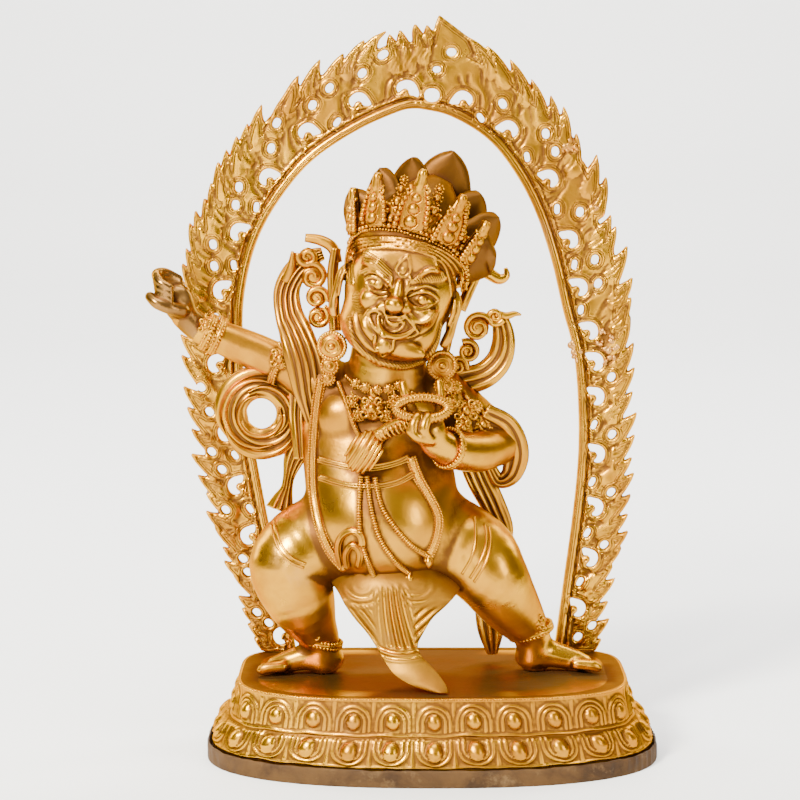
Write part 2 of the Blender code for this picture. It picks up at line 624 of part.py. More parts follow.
def add_apron(bm):
    """The waist cloth falls in front between the legs to a point on the plinth's top."""
    band(bm, ((-28, -30, 94, 106), (-27, -41, 76, 98), (-25, -46, 58, 80), (-24, -51, 42, 58), (-24, -56, 26, 40),
              (-16, -63, 13, 30), (-4, -70, 6, 22), (7, -75, 4.4, 9)), 8, Vector((0, -1, 0.25)))
    column(bm, ((-28, -20, 34, 22, 16), (-28, -16, 60, 34, 26), (-30, -8, 84, 48, 38)))
    tube(bm, ((-92, -24, 92, 10), (-62, -46, 82, 9), (-32, -55, 77, 9), (0, -47, 82, 9), (30, -32, 96, 9)), 8)
    # One loop of the belt's knot hangs from the waist
    tube(bm, ((-62, -48, 126, 5), (-72, -45, 118, 5), (-68, -48, 108, 5), (-58, -50, 112, 5)), 8)


def keep_largest_body(mesh):
    """Drops crumbs of a voxel or two that the remesh leaves at thin tips."""
    bm = bmesh.new()
    bm.from_mesh(mesh)
    bm.verts.ensure_lookup_table()
    bodies = []
    seen = set()
    for start in bm.verts:
        if start in seen:
            continue
        seen.add(start)
        body = [start]
        for vert in body:
            for edge in vert.link_edges:
                other = edge.other_vert(vert)
                if other not in seen:
                    seen.add(other)
                    body.append(other)
        bodies.append(body)
    bodies.sort(key=len)
    crumbs = [vert for body in bodies[:-1] for vert in body]
    bmesh.ops.delete(bm, geom=crumbs, context="VERTS")
    bm.to_mesh(mesh)
    bm.free()


def build_figure(material):
    bm = bmesh.new()
    add_body(bm)
    add_hands(bm)
    add_head(bm)
    add_crown(bm)
    add_scarves(bm)
    add_apron(bm)
    mesh = mesh_from("figure", bm)
    figure = add_object("vajrapani_figure", mesh, material, 0)
    remesh = figure.modifiers.new("skin", "REMESH")
    remesh.mode = "VOXEL"
    remesh.voxel_size = FIGURE_VOXEL / FIGURE_UNIT
    blend = figure.modifiers.new("soften", "SMOOTH")
    blend.factor = 0.5
    blend.iterations = 2
    graph = bpy.context.evaluated_depsgraph_get()
    skin = bpy.data.meshes.new_from_object(figure.evaluated_get(graph))
    keep_largest_body(skin)
    figure.modifiers.clear()
    figure.data = skin
    skin.materials.clear()
    skin.materials.append(material)
    low = min(vert.co.z for vert in skin.vertices)
    high = max(vert.co.z for vert in skin.vertices)
    skin.transform(
        Matrix.Translation((0, 0, PLINTH_TOP_Z + SEAT_GAP))
        @ Matrix.Scale(FIGURE_HEIGHT / (high - low), 4)
        @ Matrix.Translation((0, 0, -low))
    )
    reduce = figure.modifiers.new("facets", "DECIMATE")
    reduce.ratio = FIGURE_TRIANGLES / sum(len(face.vertices) - 2 for face in skin.polygons)
    reduce.use_collapse_triangulate = True
    reduced = bpy.data.meshes.new_from_object(figure.evaluated_get(bpy.context.evaluated_depsgraph_get()))
    figure.modifiers.clear()
    figure.data = reduced
    floor = PLINTH_TOP_Z + SEAT_GAP
    for vert in reduced.vertices:
        if vert.co.z < floor + 0.8 * MM:
            vert.co.z = floor
    reduced.shade_smooth()
    return figure


clear_scene()
gilt = metal("gilt_bronze", (0.80, 0.50, 0.16), 0.3)
tray_copper = metal("tarnished_copper", (0.30, 0.21, 0.12), 0.6)
build_tray(tray_copper)
build_plinth(gilt)
build_aureole(gilt)
build_figure(gilt)
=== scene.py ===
"""Looks of the gilt bronze Vajrapani: figure, lotus plinth, flame aureole and sheet-metal tray.

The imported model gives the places. Everything below is worked in millimetres above the plinth's top,
with x to the viewer's right and y to the back, and goes to metres when a piece is made.
"""

import math

import bmesh
import bpy
import numpy as np
from mathutils import Matrix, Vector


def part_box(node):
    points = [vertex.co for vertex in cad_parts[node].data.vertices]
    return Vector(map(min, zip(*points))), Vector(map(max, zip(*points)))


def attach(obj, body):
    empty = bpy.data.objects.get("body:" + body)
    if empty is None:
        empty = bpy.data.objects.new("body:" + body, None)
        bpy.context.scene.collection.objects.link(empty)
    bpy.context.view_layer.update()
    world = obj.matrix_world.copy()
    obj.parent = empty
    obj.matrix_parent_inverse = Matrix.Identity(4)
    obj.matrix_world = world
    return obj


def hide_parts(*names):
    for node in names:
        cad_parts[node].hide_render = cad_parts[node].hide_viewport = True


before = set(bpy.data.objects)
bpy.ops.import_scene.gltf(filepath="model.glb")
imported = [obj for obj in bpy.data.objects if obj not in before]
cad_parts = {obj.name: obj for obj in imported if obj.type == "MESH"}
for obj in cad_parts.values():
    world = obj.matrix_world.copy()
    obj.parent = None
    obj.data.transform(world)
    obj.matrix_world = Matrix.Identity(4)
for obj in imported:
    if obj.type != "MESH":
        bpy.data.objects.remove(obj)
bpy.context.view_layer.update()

NODES = ("base_tray", "lotus_plinth", "aureole", "vajrapani_figure")
PLINTH_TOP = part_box("lotus_plinth")[1].z * 1000
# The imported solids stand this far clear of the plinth
SEAT_GAP = 0.3
AUREOLE_Y = 500 * (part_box("aureole")[0].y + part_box("aureole")[1].y)

# The photograph's camera, which also seats ornaments by their pixel in the photograph
CAMERA_PLACE = (-0.0262, -1.9127, 0.5294)
CAMERA_TILT = 82.875
LENS = 108
SENSOR = 36
PICTURE = 800


# Tools: curves, distance fields and small solids


def curve(rows, steps):
    """A smooth curve through rows of numbers, with steps samples to each span."""
    rows = np.array(rows, float)
    padded = np.vstack([rows[:1], rows, rows[-1:]])
    t = (np.arange(steps) / steps)[:, None, None]
    a, b, c, d = padded[:-3], padded[1:-2], padded[2:-1], padded[3:]
    bend, twist = 2 * a - 5 * b + 4 * c - d, 3 * b - a - 3 * c + d
    spans = 0.5 * (2 * b + (c - a) * t + bend * t**2 + twist * t**3)
    return np.vstack([spans.transpose(1, 0, 2).reshape(-1, rows.shape[1]), rows[-1:]])


def even(points, pitch):
    """The same curve in steps of about pitch."""
    lengths = np.concatenate([[0], np.cumsum(np.linalg.norm(np.diff(points[:, :3], axis=0), axis=1))])
    count = max(2, round(lengths[-1] / pitch) + 1)
    wanted = np.linspace(0, lengths[-1], count)
    return np.stack([np.interp(wanted, lengths, column) for column in points.T], axis=1)


def unit(vectors):
    return vectors / np.maximum(np.linalg.norm(vectors, axis=-1, keepdims=True), 1e-9)


def with_column(points, value):
    """The points with one more number each, the same for all: a radius, a width or a height."""
    return np.column_stack([points, np.full(len(points), value)])


def directions(centres, closed):
    """Which way a path runs at each of its points."""
    if closed:
        return unit(np.roll(centres, -1, 0) - np.roll(centres, 1, 0))
    return unit(np.gradient(centres, axis=0))


def ring_path(centre, axis, radius, count):
    """Points round a circle, the first of them again at the end."""
    axis = unit(np.array(axis, float))
    side = unit(np.cross(axis, (0.1, 1, 0.3)))
    other = np.cross(axis, side)
    angle = 2 * np.pi * np.arange(count + 1) / count
    return np.array(centre) + radius * (np.outer(np.cos(angle), side) + np.outer(np.sin(angle), other))


def facing(direction):
    """Axes of an ornament that looks along direction: across, out and up."""
    out = unit(np.array(direction, float))
    across = unit(np.cross(out, (0, 0, 1)))
    return np.stack([across, out, np.cross(across, out)], axis=1)


def bump(value, width):
    """One at zero, falling smoothly to nothing at width."""
    return np.clip(1 - (value / width) ** 2, 0, 1) ** 2


def rotation(axis, degrees):
    return np.array(Matrix.Rotation(math.radians(degrees), 3, axis))


def pixel_rays(pixels):
    """The camera's place and directions through pixels of the photograph."""
    tilt = math.radians(CAMERA_TILT)
    ahead = np.array((0, math.sin(tilt), -math.cos(tilt)))
    above = np.array((0, math.cos(tilt), math.sin(tilt)))
    focal = LENS / SENSOR * PICTURE
    pixels = np.array(pixels, float)
    across = (pixels[:, :1] - PICTURE / 2) / focal
    up = (PICTURE / 2 - pixels[:, 1:2]) / focal
    rays = unit(ahead + across * np.array((1, 0, 0)) + up * above)
    place = np.array(CAMERA_PLACE) * 1000 - np.array((0, 0, PLINTH_TOP + SEAT_GAP))
    return place, rays


def between_cells(grid, where):
    """Values of a grid at places given in cells, blended from the nearest cells."""
    where = np.clip(where, 0, np.array(grid.shape) - 1.001)
    base = where.astype(int)
    shares = np.stack([1 - (where - base), where - base])
    axes = np.arange(grid.ndim)
    total = 0
    for corner in np.ndindex(*[2] * grid.ndim):
        weight = shares[corner, :, axes].prod(0)
        total = total + weight * grid[tuple((base + corner).T)]
    return total


# Distance that a field starts with, before any shape is near
EMPTY = 40.0
# Most steps that a ray takes towards the shape
MARCH_STEPS = 220


class Field:
    """Signed distances on a regular grid. Shapes are melted into it or cut out of it."""

    def __init__(self, low, high, step):
        self.low = np.array(low, float)
        self.step = np.ones(3) * step
        sizes = np.ceil((np.array(high, float) - self.low) / self.step).astype(int) + 1
        self.grid = np.full(sizes, EMPTY, np.float32)

    def window(self, low, high):
        first, last = (((np.array(corner) - self.low) / self.step).astype(int) for corner in (low, high))
        first = np.clip(first, 0, np.array(self.grid.shape) - 1)
        last = np.clip(last + 2, first + 1, self.grid.shape)
        cut = tuple(slice(a, b) for a, b in zip(first, last))
        axes = [self.low[k] + self.step[k] * np.arange(first[k], last[k]) for k in range(3)]
        return cut, np.meshgrid(*[axis.astype(np.float32) for axis in axes], indexing="ij", sparse=True)

    def join(self, cut, distance, blend):
        old = self.grid[cut]
        mix = np.clip(0.5 + 0.5 * (old - distance) / blend, 0, 1)
        self.grid[cut] = old * (1 - mix) + distance * mix - blend * mix * (1 - mix)

    def carve(self, cut, distance, blend):
        old = self.grid[cut]
        mix = np.clip(0.5 - 0.5 * (old + distance) / blend, 0, 1)
        self.grid[cut] = old * (1 - mix) - distance * mix + blend * mix * (1 - mix)

    def merge(self, cut, distance, blend, cut_out):
        if cut_out:
            self.carve(cut, distance, blend)
        else:
            self.join(cut, distance, blend)

    def tube(self, rows, blend=3.0, steps=4, cut_out=False):
        """A round limb through rows of x, y, z and radius."""
        rows = curve(rows, steps)
        pad = rows[:, 3].max() + blend + 2 * self.step.max()
        cut, (x, y, z) = self.window(rows[:, :3].min(0) - pad, rows[:, :3].max(0) + pad)
        near = np.full(self.grid[cut].shape, EMPTY, np.float32)
        for a, b in zip(rows, rows[1:]):
            dx, dy, dz = b[:3] - a[:3]
            square = max(dx * dx + dy * dy + dz * dz, 1e-6)
            t = np.clip(((x - a[0]) * dx + (y - a[1]) * dy + (z - a[2]) * dz) / square, 0, 1)
            gap = np.sqrt((x - a[0] - t * dx) ** 2 + (y - a[1] - t * dy) ** 2 + (z - a[2] - t * dz) ** 2)
            near = np.minimum(near, gap - (a[3] + t * (b[3] - a[3])))
        self.merge(cut, near, blend, cut_out)

    def ball(self, centre, radii, axes=np.eye(3), blend=3.0, cut_out=False):
        """An ellipsoid whose own axes are the columns of axes."""
        centre = np.array(centre, float)
        radii = np.array(radii, float)
        pad = np.abs(axes) @ radii + blend + 2 * self.step.max()
        cut, (x, y, z) = self.window(centre - pad, centre + pad)
        own = [(x - centre[0]) * a[0] + (y - centre[1]) * a[1] + (z - centre[2]) * a[2] for a in axes.T]
        outer = np.sqrt(sum((p / r) ** 2 for p, r in zip(own, radii)))
        slope = np.sqrt(sum((p / r**2) ** 2 for p, r in zip(own, radii)))
        self.merge(cut, outer * (outer - 1) / np.maximum(slope, 1e-6), blend, cut_out)

    def column(self, rows, blend=3.0):
        """Level elliptical sections: x, y, z, half width, half depth."""
        rows = curve(rows, 4)
        pad = rows[:, 3:].max() + blend
        cut, (x, y, z) = self.window(rows[:, :3].min(0) - pad, rows[:, :3].max(0) + pad)
        cx, cy, a, b = (np.interp(z, rows[:, 2], rows[:, k]).astype(np.float32) for k in (0, 1, 3, 4))
        side = (np.sqrt(((x - cx) / a) ** 2 + ((y - cy) / b) ** 2) - 1) * np.minimum(a, b)
        self.join(cut, np.maximum(side, np.maximum(rows[0, 2] - z, z - rows[-1, 2])), blend)

    def sample(self, points):
        return between_cells(self.grid, (points - self.low) / self.step)

    def hit(self, pixels, proud=0.0):
        """Where the camera sees the shape at these pixels, or comes nearest, and proud towards the camera."""
        place, rays = pixel_rays(pixels)
        reach = (self.low[1] - place[1]) / rays[:, 1]
        far = self.low[1] + self.step[1] * self.grid.shape[1]
        best = reach.copy()
        least = np.full(len(reach), 1e3)
        moving = np.full(len(reach), True)
        for _ in range(MARCH_STEPS):
            gap = self.sample(place + rays * reach[:, None])
            closer = moving & (gap < least)
            best[closer] = reach[closer]
            least[closer] = gap[closer]
            moving &= (gap > 0.05) & (place[1] + rays[:, 1] * reach < far)
            reach = reach + np.where(moving, np.clip(gap * 0.8, 0.2, 5), 0)
        return place + rays * (best - proud)[:, None]

    def trace(self, pixels, pitch=1.0, proud=0.0, calm=9):
        """A curve of points laid on the shape along a path of pixels."""
        path = even(np.pad(curve(pixels, 8), ((0, 0), (0, 1))), 1.0)[:, :2]
        points = self.hit(path, proud)
        window = np.ones(calm) / calm
        spread = np.pad(points, ((calm // 2, calm // 2), (0, 0)), mode="edge")
        points[:, 1] = np.convolve(spread[:, 1], window, "valid")
        return even(points, pitch)

    def surface(self):
        """Points and quads of the zero surface, one point to each cell that it crosses."""
        grid = self.grid
        inside = grid < 0
        count = sum(
            inside[i : i - 1 or None, j : j - 1 or None, k : k - 1 or None].astype(np.int8)
            for i in (0, 1)
            for j in (0, 1)
            for k in (0, 1)
        )
        active = (count > 0) & (count < 8)
        cells = np.argwhere(active)
        number = np.full(active.shape, -1)
        number[active] = np.arange(len(cells))
        corners = [np.array((i, j, k)) for i in (0, 1) for j in (0, 1) for k in (0, 1)]
        total = np.zeros((len(cells), 3))
        hits = np.zeros((len(cells), 1))
        for a in corners:
            for b in corners:
                if (b - a).sum() != 1 or (b < a).any():
                    continue
                at_a = grid[tuple((cells + a).T)]
                at_b = grid[tuple((cells + b).T)]
                crossed = (at_a < 0) != (at_b < 0)
                t = (at_a / np.where(crossed, at_a - at_b, 1))[:, None]
                total += np.where(crossed[:, None], a + t * (b - a), 0)
                hits += crossed[:, None]
        points = self.low + self.step * (cells + total / np.maximum(hits, 1))
        quads = []
        for axis in range(3):
            one, two = [k for k in range(3) if k != axis]
            low = [slice(1, -1)] * 3
            high = [slice(1, -1)] * 3
            low[axis], high[axis] = slice(0, -1), slice(1, None)
            starts, ends = inside[tuple(low)], inside[tuple(high)]
            for change, flip in ((starts & ~ends, axis == 1), (ends & ~starts, axis != 1)):
                spots = np.argwhere(change)
                spots[:, one] += 1
                spots[:, two] += 1
                ring = []
                for back_one, back_two in ((1, 1), (0, 1), (0, 0), (1, 0)):
                    spot = spots.copy()
                    spot[:, one] -= back_one
                    spot[:, two] -= back_two
                    ring.append(number[tuple(spot.T)])
                quad = np.stack(ring, axis=1)
                quads.append(quad[:, ::-1] if flip else quad)
        return points, np.vstack(quads)


def ball_template():
    """Points and triangles of a ball of radius one."""
    bm = bmesh.new()
    bmesh.ops.create_icosphere(bm, subdivisions=2, radius=1)
    points = np.array([vert.co[:] for vert in bm.verts])
    tris = np.array([[vert.index for vert in face.verts] for face in bm.faces])
    bm.free()
    return points, tris


BALL_POINTS, BALL_TRIS = ball_template()
# Distance along a ribbon in which its pleats sway once
PLEAT_SWAY = 75


class Heap:
    """Small solids gathered into one mesh."""

    def __init__(self):
        self.points = []
        self.quads = []
        self.tris = []
        self.count = 0

    def add(self, points, quads=None, tris=None):
        self.points.append(points)
        if quads is not None:
            self.quads.append(np.asarray(quads) + self.count)
        if tris is not None:
            self.tris.append(np.asarray(tris) + self.count)
        self.count += len(points)

    def bead(self, centre, radii, axes=np.eye(3)):
        self.add(np.array(centre) + (BALL_POINTS * radii) @ np.array(axes).T, tris=BALL_TRIS)

    def beads(self, path, radius, pitch, flat=0.8):
        for point in even(np.asarray(path), pitch):
            self.bead(point[:3], (radius, radius * flat, radius))

    def sweep(self, rings, closed=False):
        """Joins rings of points, given as rows by ring, and closes both ends."""
        rows, sides = rings.shape[:2]
        near = np.arange(rows * sides).reshape(rows, sides)
        far = np.roll(near, -1, axis=0) if closed else near[1:]
        near = near if closed else near[:-1]
        quads = np.stack([near, np.roll(near, -1, 1), np.roll(far, -1, 1), far], axis=-1).reshape(-1, 4)
        points = rings.reshape(-1, 3)
        tris = None
        if not closed:
            ends = np.vstack([rings[0].mean(0), rings[-1].mean(0)])
            first = np.arange(sides)
            last = first + (rows - 1) * sides
            low = np.stack([np.roll(first, -1), first, np.full(sides, rows * sides)], axis=1)
            high = np.stack([last, np.roll(last, -1), np.full(sides, rows * sides + 1)], axis=1)
            points = np.vstack([points, ends])
            tris = np.vstack([low, high])
        self.add(points, quads, tris)

    def tube(self, rows, sides=8, pitch=1.5, closed=False, steps=6):
        rows = even(curve(rows, steps), pitch)
        if closed:
            rows = rows[:-1]
        centres = rows[:, :3]
        along = directions(centres, closed)
        side = np.zeros_like(centres)
        carried = np.array((0.1, 1.0, 0.2))
        for i, direction in enumerate(along):
            carried = carried - direction * carried.dot(direction)
            if np.linalg.norm(carried) < 0.2:
                carried = np.cross(direction, (0.3, 0.2, 1.0))
            carried = carried / np.linalg.norm(carried)
            side[i] = carried
        other = np.cross(along, side)
        angle = 2 * np.pi * np.arange(sides) / sides
        offset = side[:, None] * np.cos(angle)[None, :, None] + other[:, None] * np.sin(angle)[None, :, None]
        self.sweep(centres[:, None] + offset * rows[:, 3][:, None, None], closed)

    def hoop(self, centre, axis, radius, thick, count=12, sides=6, pitch=1.0):
        self.tube(with_column(ring_path(centre, axis, radius, count), thick), sides, pitch, True, 1)

    def ribbon(self, rows, thickness=3.0, face=(0, -1, 0), ridges=3.0, depth=0.9, dome=1.5, columns=15,
               pitch=1.6, ripple=0.0, closed=False):
        """A strip of cloth cast in metal. Rows give x, y, z and width, and may end in the way it faces."""
        rows = np.array(rows, float)
        if rows.shape[1] == 4:
            rows = np.hstack([rows, np.tile(face, (len(rows), 1))])
        rows = even(curve(rows, 8), pitch)
        if closed:
            rows = rows[:-1]
        centres = rows[:, :3]
        along = directions(centres, closed)
        across = unit(np.cross(along, rows[:, 4:7]))
        out = unit(np.cross(across, along))
        t = np.linspace(-1, 1, columns)
        travel = np.arange(len(rows))[:, None] * pitch
        length = len(rows) * pitch
        sway = 0.09 * np.sin(2 * np.pi * max(1, round(length / PLEAT_SWAY)) * travel / length)
        relief = dome * (1 - t**2) + depth * np.cos(np.pi * ridges * (t[None] + sway)) * bump(t, 1.25)
        edge = np.sqrt(np.clip(1 - np.abs(t) ** 6, 0, 1))
        wave = ripple * np.sin(travel / 7.0 + 1.5 * t[None]) * np.abs(t[None]) ** 1.5
        front = relief + 0.5 * thickness * edge[None] + wave
        back = 0.6 * relief - 0.5 * thickness * edge[None] + wave
        half = rows[:, 3][:, None, None] / 2
        top = centres[:, None] + across[:, None] * t[None, :, None] * half + out[:, None] * front[..., None]
        low = centres[:, None] + across[:, None] * t[None, :, None] * half + out[:, None] * back[..., None]
        self.sweep(np.concatenate([top, low[:, ::-1]], axis=1), closed)

    def mesh(self):
        points = np.vstack(self.points)
        quads = np.vstack(self.quads) if self.quads else np.zeros((0, 4), int)
        tris = np.vstack(self.tris) if self.tris else np.zeros((0, 3), int)
        return points, quads, tris


PIECES = []
# Passes of smoothing after which creases are measured
FINE_SMOOTHING = 6
BROAD_SMOOTHING = 30
# Cell and margin of the grid that marks crowded places
CROWD_STEP = 2.0
CROWD_MARGIN = 40


def smoothing_moves(points, pairs):
    """How far each point moves when the mesh is smoothed a little, and when it is smoothed a lot."""
    count = np.bincount(pairs.ravel(), minlength=len(points))[:, None].clip(1)
    smooth = points.copy()
    moves = []
    for step in range(1, BROAD_SMOOTHING + 1):
        pull = np.zeros_like(smooth)
        for k in range(3):
            ahead = np.bincount(pairs[:, 0], smooth[pairs[:, 1], k], len(points))
            pull[:, k] = ahead + np.bincount(pairs[:, 1], smooth[pairs[:, 0], k], len(points))
        smooth = 0.5 * smooth + 0.5 * pull / count
        if step in (FINE_SMOOTHING, BROAD_SMOOTHING):
            moves.append(smooth - points)
    return moves


def add_piece(name, points, quads, tris=None, material=None, slot="gilt", extras=None):
    """A piece of the part, from points in millimetres.

    Its attribute recess is near zero on open metal, one in a deep crease and below zero on edges. The
    materials darken with it, partly as patina and partly as painted shade.
    """
    tris = np.zeros((0, 3), int) if tris is None else tris
    mesh = bpy.data.meshes.new(name)
    placed = (points + np.array((0, 0, PLINTH_TOP + SEAT_GAP))) / 1000
    mesh.vertices.add(len(points))
    mesh.vertices.foreach_set("co", placed.astype(np.float32).ravel())
    mesh.loops.add(quads.size + tris.size)
    mesh.loops.foreach_set("vertex_index", np.concatenate([quads.ravel(), tris.ravel()]).astype(np.int32))
    mesh.polygons.add(len(quads) + len(tris))
    starts = np.concatenate([np.arange(len(quads)) * 4, quads.size + np.arange(len(tris)) * 3])
    mesh.polygons.foreach_set("loop_start", starts.astype(np.int32))
    mesh.update(calc_edges=True)
    mesh.validate()
    mesh.shade_smooth()
    pairs = np.zeros(len(mesh.edges) * 2, np.int32)
    mesh.edges.foreach_get("vertices", pairs)
    normals = np.zeros(len(mesh.vertices) * 3, np.float32)
    mesh.vertex_normals.foreach_get("vector", normals)
    normals = normals.reshape(-1, 3)
    fine, broad = smoothing_moves(points, pairs.reshape(-1, 2))
    shade = 1.6 * (fine * normals).sum(1) + 0.55 * (broad * normals).sum(1)
    layers = {"recess": shade}
    layers.update(extras or {})
    for label, values in layers.items():
        layer = mesh.attributes.new(label, "FLOAT", "POINT")
        layer.data.foreach_set("value", np.asarray(values, np.float32))
    obj = bpy.data.objects.new(name, mesh)
    bpy.context.scene.collection.objects.link(obj)
    mesh.materials.append(material)
    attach(obj, "root")
    print(name, len(quads) * 2 + len(tris), "triangles")
    PIECES.append(obj)
    return obj


def blur(grid, reach):
    """Two passes of a box average of 2 * reach + 1 cells along each axis."""
    for axis in range(3):
        for _ in range(2):
            pad = [(0, 0)] * 3
            pad[axis] = (reach + 1, reach)
            total = np.cumsum(np.pad(grid, pad), axis=axis, dtype=np.float32)
            size = grid.shape[axis]
            late = np.take(total, range(2 * reach + 1, 2 * reach + 1 + size), axis=axis)
            grid = (late - np.take(total, range(size), axis=axis)) / (2 * reach + 1)
    return grid


def mark_crowding(pieces):
    """Gives each point an attribute that grows where other metal stands close in front of it. The materials
    darken with it as painted shade, a baked occlusion.
    """
    step = CROWD_STEP
    corners = np.array([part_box(node) for node in NODES]) * 1000
    low = corners.min((0, 1)) - CROWD_MARGIN
    sizes = ((corners.max((0, 1)) + CROWD_MARGIN - low) / step).astype(int) + 1
    grid = np.zeros(sizes, np.float32)
    for obj in pieces:
        faces = obj.data.polygons
        centres = np.zeros(len(faces) * 3, np.float32)
        areas = np.zeros(len(faces), np.float32)
        faces.foreach_get("center", centres)
        faces.foreach_get("area", areas)
        spots = ((centres.reshape(-1, 3) * 1000 - low) / step).astype(int).clip(0, sizes - 1)
        cells = np.ravel_multi_index(tuple(spots.T), grid.shape)
        grid += np.bincount(cells, areas * 1e6 / step**3, grid.size).reshape(grid.shape).astype(np.float32)
    layers = [(blur(grid, reach) * (2 * reach + 1) * step, lift) for reach, lift in ((1, 4.5), (4, 16.0))]
    for obj in pieces:
        count = len(obj.data.vertices)
        points = np.zeros(count * 3, np.float32)
        normals = np.zeros(count * 3, np.float32)
        obj.data.vertices.foreach_get("co", points)
        obj.data.vertex_normals.foreach_get("vector", normals)
        points, normals = points.reshape(-1, 3) * 1000, normals.reshape(-1, 3)
        crowd = np.zeros(count)
        for (layer, lift), weight in zip(layers, (0.7, 0.45)):
            nearby = between_cells(layer, (points + normals * lift - low) / step - 0.5)
            crowd += weight * np.clip(nearby - 0.12, 0, 1.2)
        layer = obj.data.attributes.new("crowd", "FLOAT", "POINT")
        layer.data.foreach_set("value", crowd.astype(np.float32))


# Materials


class Shader:
    """A principled material and short ways to wire procedural nodes into it."""

    def __init__(self, name, metallic=1.0):
        self.material = bpy.data.materials.new(name)
        self.material.use_nodes = True
        self.tree = self.material.node_tree
        self.surface = self.tree.nodes["Principled BSDF"]
        self.surface.inputs["Metallic"].default_value = metallic
        self.place = self.tree.nodes.new("ShaderNodeTexCoord").outputs["Object"]

    def wire(self, socket, value):
        if isinstance(value, bpy.types.NodeSocket):
            self.tree.links.new(value, socket)
        elif socket.type == "RGBA":
            socket.default_value = (*value, 1)
        else:
            socket.default_value = value

    def attribute(self, label):
        node = self.tree.nodes.new("ShaderNodeAttribute")
        node.attribute_name = label
        return node.outputs["Fac"]

    def noise(self, scale, detail=4.0, roughness=0.55, distortion=0.0):
        node = self.tree.nodes.new("ShaderNodeTexNoise")
        self.wire(node.inputs["Vector"], self.place)
        node.inputs["Scale"].default_value = scale
        node.inputs["Detail"].default_value = detail
        node.inputs["Roughness"].default_value = roughness
        node.inputs["Distortion"].default_value = distortion
        return node.outputs["Fac"]

    def wave(self, scale):
        """Fine slanting lines, about 0.3 / scale apart in metres."""
        node = self.tree.nodes.new("ShaderNodeTexWave")
        node.bands_direction = "DIAGONAL"
        self.wire(node.inputs["Vector"], self.place)
        node.inputs["Scale"].default_value = scale
        node.inputs["Distortion"].default_value = 0.8
        return node.outputs["Fac"]

    def math(self, kind, one, two=0.0):
        node = self.tree.nodes.new("ShaderNodeMath")
        node.operation = kind
        self.wire(node.inputs[0], one)
        self.wire(node.inputs[1], two)
        return node.outputs[0]

    def span(self, value, low, high, start=0.0, end=1.0):
        """Value from low to high becomes start to end, smoothly, and stays there beyond."""
        node = self.tree.nodes.new("ShaderNodeMapRange")
        node.interpolation_type = "SMOOTHSTEP"
        numbers = {"Value": value, "From Min": low, "From Max": high, "To Min": start, "To Max": end}
        for label, number in numbers.items():
            self.wire(node.inputs[label], number)
        return node.outputs["Result"]

    def hollows(self, crowd_share):
        """How deep in a crease or behind other metal the surface is. The materials darken with it, partly as
        patina and partly as painted shade.
        """
        crowded = self.math("MULTIPLY", self.attribute("crowd"), crowd_share)
        return self.math("ADD", self.attribute("recess"), crowded)

    def blend(self, share, one, two):
        node = self.tree.nodes.new("ShaderNodeMix")
        node.data_type = "RGBA"
        for label, value in (("Factor_Float", share), ("A_Color", one), ("B_Color", two)):
            self.wire(next(s for s in node.inputs if s.identifier == label), value)
        return next(s for s in node.outputs if s.identifier == "Result_Color")

    def relief(self, height, distance, strength=1.0, below=None):
        node = self.tree.nodes.new("ShaderNodeBump")
        node.inputs["Strength"].default_value = strength
        node.inputs["Distance"].default_value = distance
        self.wire(node.inputs["Height"], height)
        if below is not None:
            self.wire(node.inputs["Normal"], below)
        return node.outputs["Normal"]

    def finish(self, colour, roughness, normal):
        self.wire(self.surface.inputs["Base Color"], colour)
        self.wire(self.surface.inputs["Roughness"], roughness)
        self.wire(self.surface.inputs["Normal"], normal)
        return self.material


GOLD_LIGHT = (0.60, 0.290, 0.009)
GOLD_MID = (0.41, 0.168, 0.006)
# The dark of patina in engraved lines and hollows, also used as painted shade in creases and behind other
# metal
GOLD_DEEP = (0.095, 0.034, 0.010)
GOLD_EDGE = (0.90, 0.58, 0.09)
# Painted shade for the plinth's top face: a darker colour and a darker edge reflection
GOLD_TOP_SHADE = (0.20, 0.125, 0.042)
GOLD_TOP_SHADE_EDGE = (0.19, 0.10, 0.028)
GOLD_PINK = (0.52, 0.26, 0.07)
BRONZE_LIGHT = (0.27, 0.135, 0.035)
BRONZE_MID = (0.16, 0.07, 0.016)
WORN_LIGHT = (0.13, 0.052, 0.010)
WORN_MID = (0.08, 0.031, 0.007)
COPPER_DARK = (0.035, 0.016, 0.005)
COPPER_MID = (0.09, 0.044, 0.014)
COPPER_PALE = (0.18, 0.105, 0.043)
# Dark dirt in the tray's hollows, also used as painted shade under and beside other metal
COPPER_DIRT_AND_SHADE = (0.045, 0.03, 0.02)


